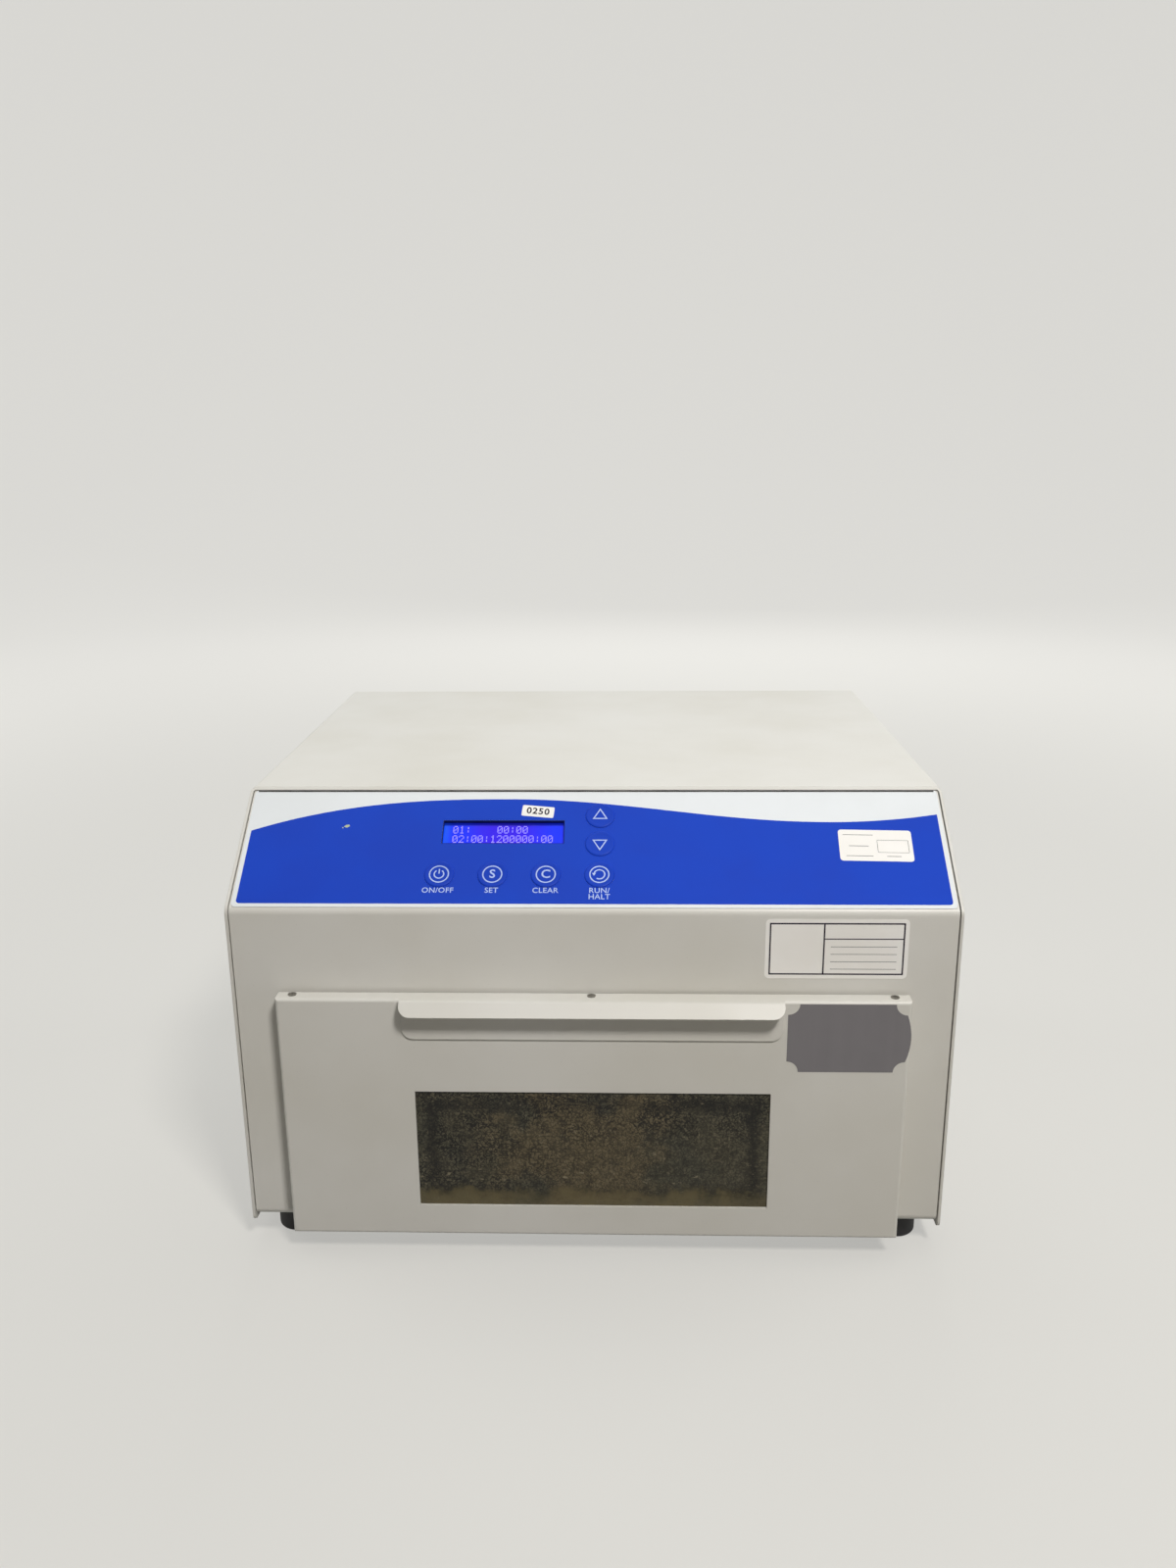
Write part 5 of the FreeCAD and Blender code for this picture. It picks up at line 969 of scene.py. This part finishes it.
def makeKeyPrints(s):
    letters = {"key_mode": "S", "key_reset": "C"}
    captions = {"key_power": ["ON/OFF"], "key_mode": ["SET"], "key_reset": ["CLEAR"], "key_start": ["RUN/", "HALT"]}
    words = []
    for name in keySet["row"]:
        x, up = keyPlace(name)
        shapes = [flatMesh(loops, s["thick"] * mm) for loops in signMeshes(name, s)]
        if name not in ("key_up", "key_down"):
            shapes.append(flatMesh(ringLoops(s["ring"], s["line"]), s["thick"] * mm))
        if name in letters:
            shapes.append(wordMesh(letters[name], s["letterTall"] * mm, s["thick"] * mm, bold=s["bold"] * mm))
        finishPiece(name + "_print", joinMeshes(shapes), onSlope(x, up, capSet["dish"] * mm), "ink", name)
        for line, caption in enumerate(captions.get(name, [])):
            down = s["captionDown"] if line == 0 else s["secondDown"]
            mesh = wordMesh(caption, s["captionTall"] * mm, s["thick"] * mm, 1.05, s["captionBold"] * mm)
            mesh.transform(onSlope(x, up - down * mm, fieldSet["thick"] * mm))
            words.append(mesh)
    finishPiece("overlay_captions", joinMeshes(words), Matrix.Identity(4), "ink", "casing")


makeKeyPrints(printSet)
makeChips(chipSet)
print("overlay printed")


# Display digits: each lit dot is one point, and a node tree stands a small block on it

digitSet = {
    "lines": ["01:    00:00", "02:00:1200000:00"], "columns": 16,
    "dotWide": 0.52, "dotTall": 0.60, "dotThick": 0.05,
    "pitchX": 0.607, "pitchY": 0.74, "cell": 6, "lineDrop": 6.4, "startX": -29.0, "startUp": 5.2, "down": 2.22,
}
digitShapes = {
    "0": ("01110", "10001", "10011", "10101", "11001", "10001", "01110"),
    "1": ("00100", "01100", "00100", "00100", "00100", "00100", "01110"),
    "2": ("01110", "10001", "00001", "00010", "00100", "01000", "11111"),
    ":": ("00000", "00100", "00100", "00000", "00100", "00100", "00000"),
}


def startTree(name, inputs):
    tree = bpy.data.node_groups.new(name, "GeometryNodeTree")
    tree.interface.new_socket(name="Geometry", in_out="INPUT", socket_type="NodeSocketGeometry")
    kinds = {float: "NodeSocketFloat", int: "NodeSocketInt", tuple: "NodeSocketVector"}
    for label, value in inputs.items():
        kind = "NodeSocketMaterial" if value is None else kinds[type(value)]
        socket = tree.interface.new_socket(name=label, in_out="INPUT", socket_type=kind)
        if value is not None:
            socket.default_value = value
    tree.interface.new_socket(name="Geometry", in_out="OUTPUT", socket_type="NodeSocketGeometry")
    return tree, tree.nodes.new("NodeGroupInput"), tree.nodes.new("NodeGroupOutput")


def endTree(tree, given, result, geometry):
    real = addNode(tree, "GeometryNodeRealizeInstances", {"Geometry": geometry})
    coloured = addNode(tree, "GeometryNodeSetMaterial", {"Geometry": real.outputs[0],
                                                         "Material": given.outputs["Material"]})
    tree.links.new(coloured.outputs[0], result.inputs["Geometry"])


def grow(tree, mesh, values):
    holder = bpy.data.objects.new("grown", mesh)
    scene.collection.objects.link(holder)
    modifier = holder.modifiers.new("grown", "NODES")
    modifier.node_group = tree
    for item in tree.interface.items_tree:
        if item.item_type == "SOCKET" and item.in_out == "INPUT" and item.name in values:
            modifier[item.identifier] = values[item.name]
    return meshOf(holder)


def makeDotTree():
    tree, given, result = startTree("lit_dots", {"Dot Size": (0.5 * mm, 0.6 * mm, 0.05 * mm), "Material": None})
    block = addNode(tree, "GeometryNodeMeshCube", {"Size": given.outputs["Dot Size"]})
    dots = addNode(tree, "GeometryNodeInstanceOnPoints", {"Points": given.outputs["Geometry"],
                                                          "Instance": block.outputs["Mesh"]})
    endTree(tree, given, result, dots.outputs[0])
    return tree


def makeDigits(s):
    spots = []
    for row, line in enumerate(s["lines"]):
        for column, sign in enumerate(line):
            for down, bits in enumerate(digitShapes.get(sign, ())):
                for across, bit in enumerate(bits):
                    if bit == "1":
                        x = s["startX"] + (column * s["cell"] + across) * s["pitchX"]
                        y = s["startUp"] - row * s["lineDrop"] - down * s["pitchY"]
                        spots.append((x * mm, y * mm, 0))
    mesh = bpy.data.meshes.new("dot_spots")
    mesh.from_pydata(spots, [], [])
    size = tuple(value * mm for value in (s["dotWide"], s["dotTall"], s["dotThick"]))
    dots = grow(makeDotTree(), mesh, {"Dot Size": size, "Material": finishes["dots"]})
    where = onSlope(keySet["windowX"] * mm, keySet["windowUp"] * mm, -s["down"] * mm)
    finishPiece("display_digits", dots, where, "dots", "casing")


makeDigits(digitSet)
print("display lit")


# Labels, all blank or with plain digits

labelSet = {
    "panel": {"x": 159.5, "up": 41.0, "wide": 41, "tall": 21, "corner": 1.8, "turn": -0.02},
    "tag": {"x": -31.7, "up": 64.4, "wide": 18.6, "tall": 7.6, "corner": 0.9, "turn": -0.10, "digits": "0250"},
    "front": {"x": 134.3, "z": 190.5, "wide": 78, "tall": 35, "corner": 2.6, "frame": 2.2, "line": 0.85, "headTall": 9.4},
    "foil": {"x": 140.2, "z": 142.3, "wide": 65, "tall": 41, "notch": 6.4, "bulge": 2.6},
    "thick": 0.12, "inkThick": 0.02,
}


def plate(loop, thick):
    return flatMesh([[(x * mm, y * mm) for x, y in loop]], thick * mm)


def framed(wide, tall, corner, line):
    outer = roundedRectangle(wide, tall, corner)
    inner = roundedRectangle(wide - 2 * line, tall - 2 * line, max(corner - line, 0.05))
    return [[(x * mm, y * mm) for x, y in loop] for loop in (outer, inner)]


def onFace(x, y, z, turn=0.0):
    upright = Matrix.Rotation(math.pi / 2, 4, "X")
    return Matrix.Translation((x * mm, y, z * mm)) @ upright @ Matrix.Rotation(turn, 4, "Z")


def makePanelLabels(s):
    thick, ink = s["thick"], s["inkThick"]
    base = fieldSet["thick"] * mm
    one = s["panel"]
    spot = onSlope(one["x"] * mm, one["up"] * mm, base, one["turn"])
    finishPiece("panel_label", plate(roundedRectangle(one["wide"], one["tall"], one["corner"]), thick), spot,
                "labelPaper", "casing")
    lift = Matrix.Translation((0, 0, thick * mm))
    box = flatMesh(framed(17.5, 8.5, 0.4, 0.22), ink * mm)
    box.transform(Matrix.Translation((9.6 * mm, -0.5 * mm, 0)))
    rules = []
    for x, y, wide in ((-9.5, 7.0, 17.0), (-9.5, -0.5, 11.0), (-9.5, -7.2, 15.0), (9.6, -7.2, 8.0)):
        rules.append(flatMesh([barLoop(x, y, wide, 0.3)], ink * mm))
    finishPiece("panel_label_rules", joinMeshes([box, *rules]), spot @ lift, "labelInk", "casing")
    one = s["tag"]
    spot = onSlope(one["x"] * mm, one["up"] * mm, base, one["turn"])
    finishPiece("number_tag", plate(roundedRectangle(one["wide"], one["tall"], one["corner"]), thick), spot,
                "labelPaper", "casing")
    finishPiece("number_tag_digits", wordMesh(one["digits"], 4.2 * mm, ink * mm, 1.15, 0.14 * mm), spot @ lift, "labelInk",
                "casing")


def makeFrontLabel(s):
    one = s["front"]
    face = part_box("front_panel")[0].y
    spot = onFace(one["x"], face, one["z"])
    finishPiece("front_label", plate(roundedRectangle(one["wide"], one["tall"], one["corner"]), s["thick"]), spot,
                "labelPaper", "casing")
    lift = Matrix.Translation((0, 0, s["thick"] * mm))
    wide, tall = one["wide"] - 2 * one["frame"], one["tall"] - 2 * one["frame"]
    rules = [flatMesh(framed(wide, tall, 0.3, one["line"]), s["inkThick"] * mm),
             flatMesh([barLoop(-7.0, 0, one["line"], tall - 2 * one["line"])], s["inkThick"] * mm)]
    headUp = tall / 2 - one["headTall"]
    rules.append(flatMesh([barLoop((wide / 2 - 7.0) / 2, headUp, wide / 2 + 7.0 - one["line"], 0.6)],
                          s["inkThick"] * mm))
    for row in range(4):
        rules.append(flatMesh([barLoop(14.8, headUp - 4.6 - row * 4.4, 36.0, 0.25)], s["inkThick"] * mm))
    finishPiece("front_label_rules", joinMeshes(rules), spot @ lift, "labelInk", "casing")


def ticketLoop(s):
    loop = []
    for corner, (side, end) in enumerate(((1, 1), (-1, 1), (-1, -1), (1, -1))):
        start = corner * math.pi / 2 + 1.5 * math.pi
        loop += circle(s["notch"], 8, side * s["wide"] / 2, end * s["tall"] / 2, start, start - math.pi / 2)
    reach = s["tall"] / 2 - s["notch"]
    for step in range(1, 12):
        y = -reach + 2 * reach * step / 12
        loop.append((s["wide"] / 2 + s["bulge"] * (1 - (y / reach) ** 2), y))
    return loop


def makeFoilLabel(s):
    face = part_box("door_skin")[0].y
    mesh = plate(ticketLoop(s["foil"]), s["thick"])
    finishPiece("door_foil", mesh, onFace(s["foil"]["x"], face, s["foil"]["z"]), "foil", "door")


makePanelLabels(labelSet)
makeFrontLabel(labelSet)
makeFoilLabel(labelSet)
print("labels stuck on")


# Cross-head screws: a node tree turns each marked point into a domed head on its shank

screwSet = {
    "door": {"spots": [(x, -168.7, 164.3) for x in (-166.5, 0, 166.5)], "radius": 2.4, "tall": 0.7, "dome": 0.35,
             "shank": 1.5, "body": "door", "node": "door_screws"},
    "rear": {"spots": [(side * 195.5, 183, z) for side in (-1, 1) for z in (55, 223)]
             + [(x, 183, 257.5) for x in (-125, 0, 125)], "radius": 3.4, "tall": 1.9, "dome": 0.9,
             "shank": 2.0, "body": "casing", "node": "rear_screws"},
    "slot": 0.26, "slotDeep": 0.62, "sides": 28, "seed": 7,
}


def makeScrewTree():
    tree, given, result = startTree("cross_head_screws", {
        "Head Radius": 0.003, "Head Height": 0.0015, "Dome": 0.0006, "Slot Width": 0.0008, "Slot Depth": 0.001,
        "Shank Radius": 0.0015, "Shank Length": 0.006, "Sides": 28, "Material": None})
    size = given.outputs

    head = addNode(tree, "GeometryNodeMeshCylinder", {"Vertices": size["Sides"], "Side Segments": 1,
                                                      "Fill Segments": 5, "Radius": size["Head Radius"],
                                                      "Depth": size["Head Height"]}, fill_type="TRIANGLE_FAN")
    spot = addNode(tree, "GeometryNodeInputPosition").outputs[0]
    parts = addNode(tree, "ShaderNodeSeparateXYZ", {"Vector": spot}).outputs
    flat = addNode(tree, "ShaderNodeCombineXYZ", {"X": parts["X"], "Y": parts["Y"]}).outputs[0]
    reach = addNode(tree, "ShaderNodeVectorMath", {0: flat}, operation="LENGTH").outputs["Value"]
    share = calc(tree, "POWER", calc(tree, "DIVIDE", reach, size["Head Radius"]), 2.0)
    drop = calc(tree, "MULTIPLY", share, calc(tree, "MULTIPLY", size["Dome"], -1.0))
    sink = addNode(tree, "ShaderNodeCombineXYZ", {"Z": drop}).outputs[0]
    top = calc(tree, "GREATER_THAN", parts["Z"], 0.0)
    domed = addNode(tree, "GeometryNodeSetPosition", {"Geometry": head.outputs["Mesh"], "Selection": top,
                                                      "Offset": sink})
    half = calc(tree, "MULTIPLY", size["Head Height"], 0.5)
    up = addNode(tree, "ShaderNodeCombineXYZ", {"Z": half}).outputs[0]
    raised = addNode(tree, "GeometryNodeTransform", {"Geometry": domed.outputs[0], "Translation": up})

    long = calc(tree, "MULTIPLY", size["Head Radius"], 1.25)
    bars = []
    for first, second in ((long, size["Slot Width"]), (size["Slot Width"], long)):
        cube = addNode(tree, "ShaderNodeCombineXYZ", {"X": first, "Y": second,
                                                      "Z": calc(tree, "MULTIPLY", size["Slot Depth"], 2.0)})
        bar = addNode(tree, "GeometryNodeMeshCube", {"Size": cube.outputs[0]})
        lift = addNode(tree, "ShaderNodeCombineXYZ", {"Z": size["Head Height"]})
        bars.append(addNode(tree, "GeometryNodeTransform", {"Geometry": bar.outputs["Mesh"],
                                                            "Translation": lift.outputs[0]}).outputs[0])
    slotted = addNode(tree, "GeometryNodeMeshBoolean", {"Mesh 1": raised.outputs[0], "Mesh 2": bars[0]},
                      operation="DIFFERENCE", solver="EXACT")
    tree.links.new(bars[1], slotted.inputs["Mesh 2"])

    rod = addNode(tree, "GeometryNodeMeshCylinder", {"Vertices": size["Sides"], "Radius": size["Shank Radius"],
                                                     "Depth": size["Shank Length"]})
    down = addNode(tree, "ShaderNodeCombineXYZ", {"Z": calc(tree, "MULTIPLY", size["Shank Length"], -0.5)})
    shank = addNode(tree, "GeometryNodeTransform", {"Geometry": rod.outputs["Mesh"],
                                                    "Translation": down.outputs[0]})
    whole = addNode(tree, "GeometryNodeJoinGeometry", {"Geometry": slotted.outputs["Mesh"]})
    tree.links.new(shank.outputs[0], whole.inputs["Geometry"])

    turn = addNode(tree, "GeometryNodeInputNamedAttribute", {"Name": "turn"}, data_type="FLOAT")
    spin = addNode(tree, "ShaderNodeCombineXYZ", {"Z": turn.outputs[0]})
    screws = addNode(tree, "GeometryNodeInstanceOnPoints", {"Points": given.outputs["Geometry"],
                                                            "Instance": whole.outputs[0],
                                                            "Rotation": spin.outputs[0]})
    endTree(tree, given, result, screws.outputs[0])
    return tree


def makeScrews(s):
    tree = makeScrewTree()
    chance = random.Random(s["seed"])
    for name, outward in (("door", Matrix.Identity(4)), ("rear", Matrix.Rotation(-math.pi / 2, 4, "X"))):
        one = s[name]
        back = outward.inverted()
        spots = bpy.data.meshes.new(name + "_screw_spots")
        spots.from_pydata([back @ (Vector(spot) * mm) for spot in one["spots"]], [], [])
        turns = spots.attributes.new("turn", "FLOAT", "POINT")
        turns.data.foreach_set("value", [chance.uniform(0, math.pi / 2) for _ in one["spots"]])
        low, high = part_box(one["node"])
        seat = one["spots"][0][2 if name == "door" else 1] * mm
        shankLong = seat - (low.z if name == "door" else low.y)
        mesh = grow(tree, spots, {
            "Head Radius": one["radius"] * mm, "Head Height": one["tall"] * mm, "Dome": one["dome"] * mm,
            "Slot Width": one["radius"] * s["slot"] * mm, "Slot Depth": one["tall"] * s["slotDeep"] * mm,
            "Shank Radius": one["shank"] * mm, "Shank Length": shankLong, "Sides": s["sides"],
            "Material": finishes["screwSteel"]})
        piece = finishPiece(name + "_cross_screws", mesh, outward, "screwSteel", one["body"])
        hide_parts(one["node"])


makeScrews(screwSet)
print("screws driven")
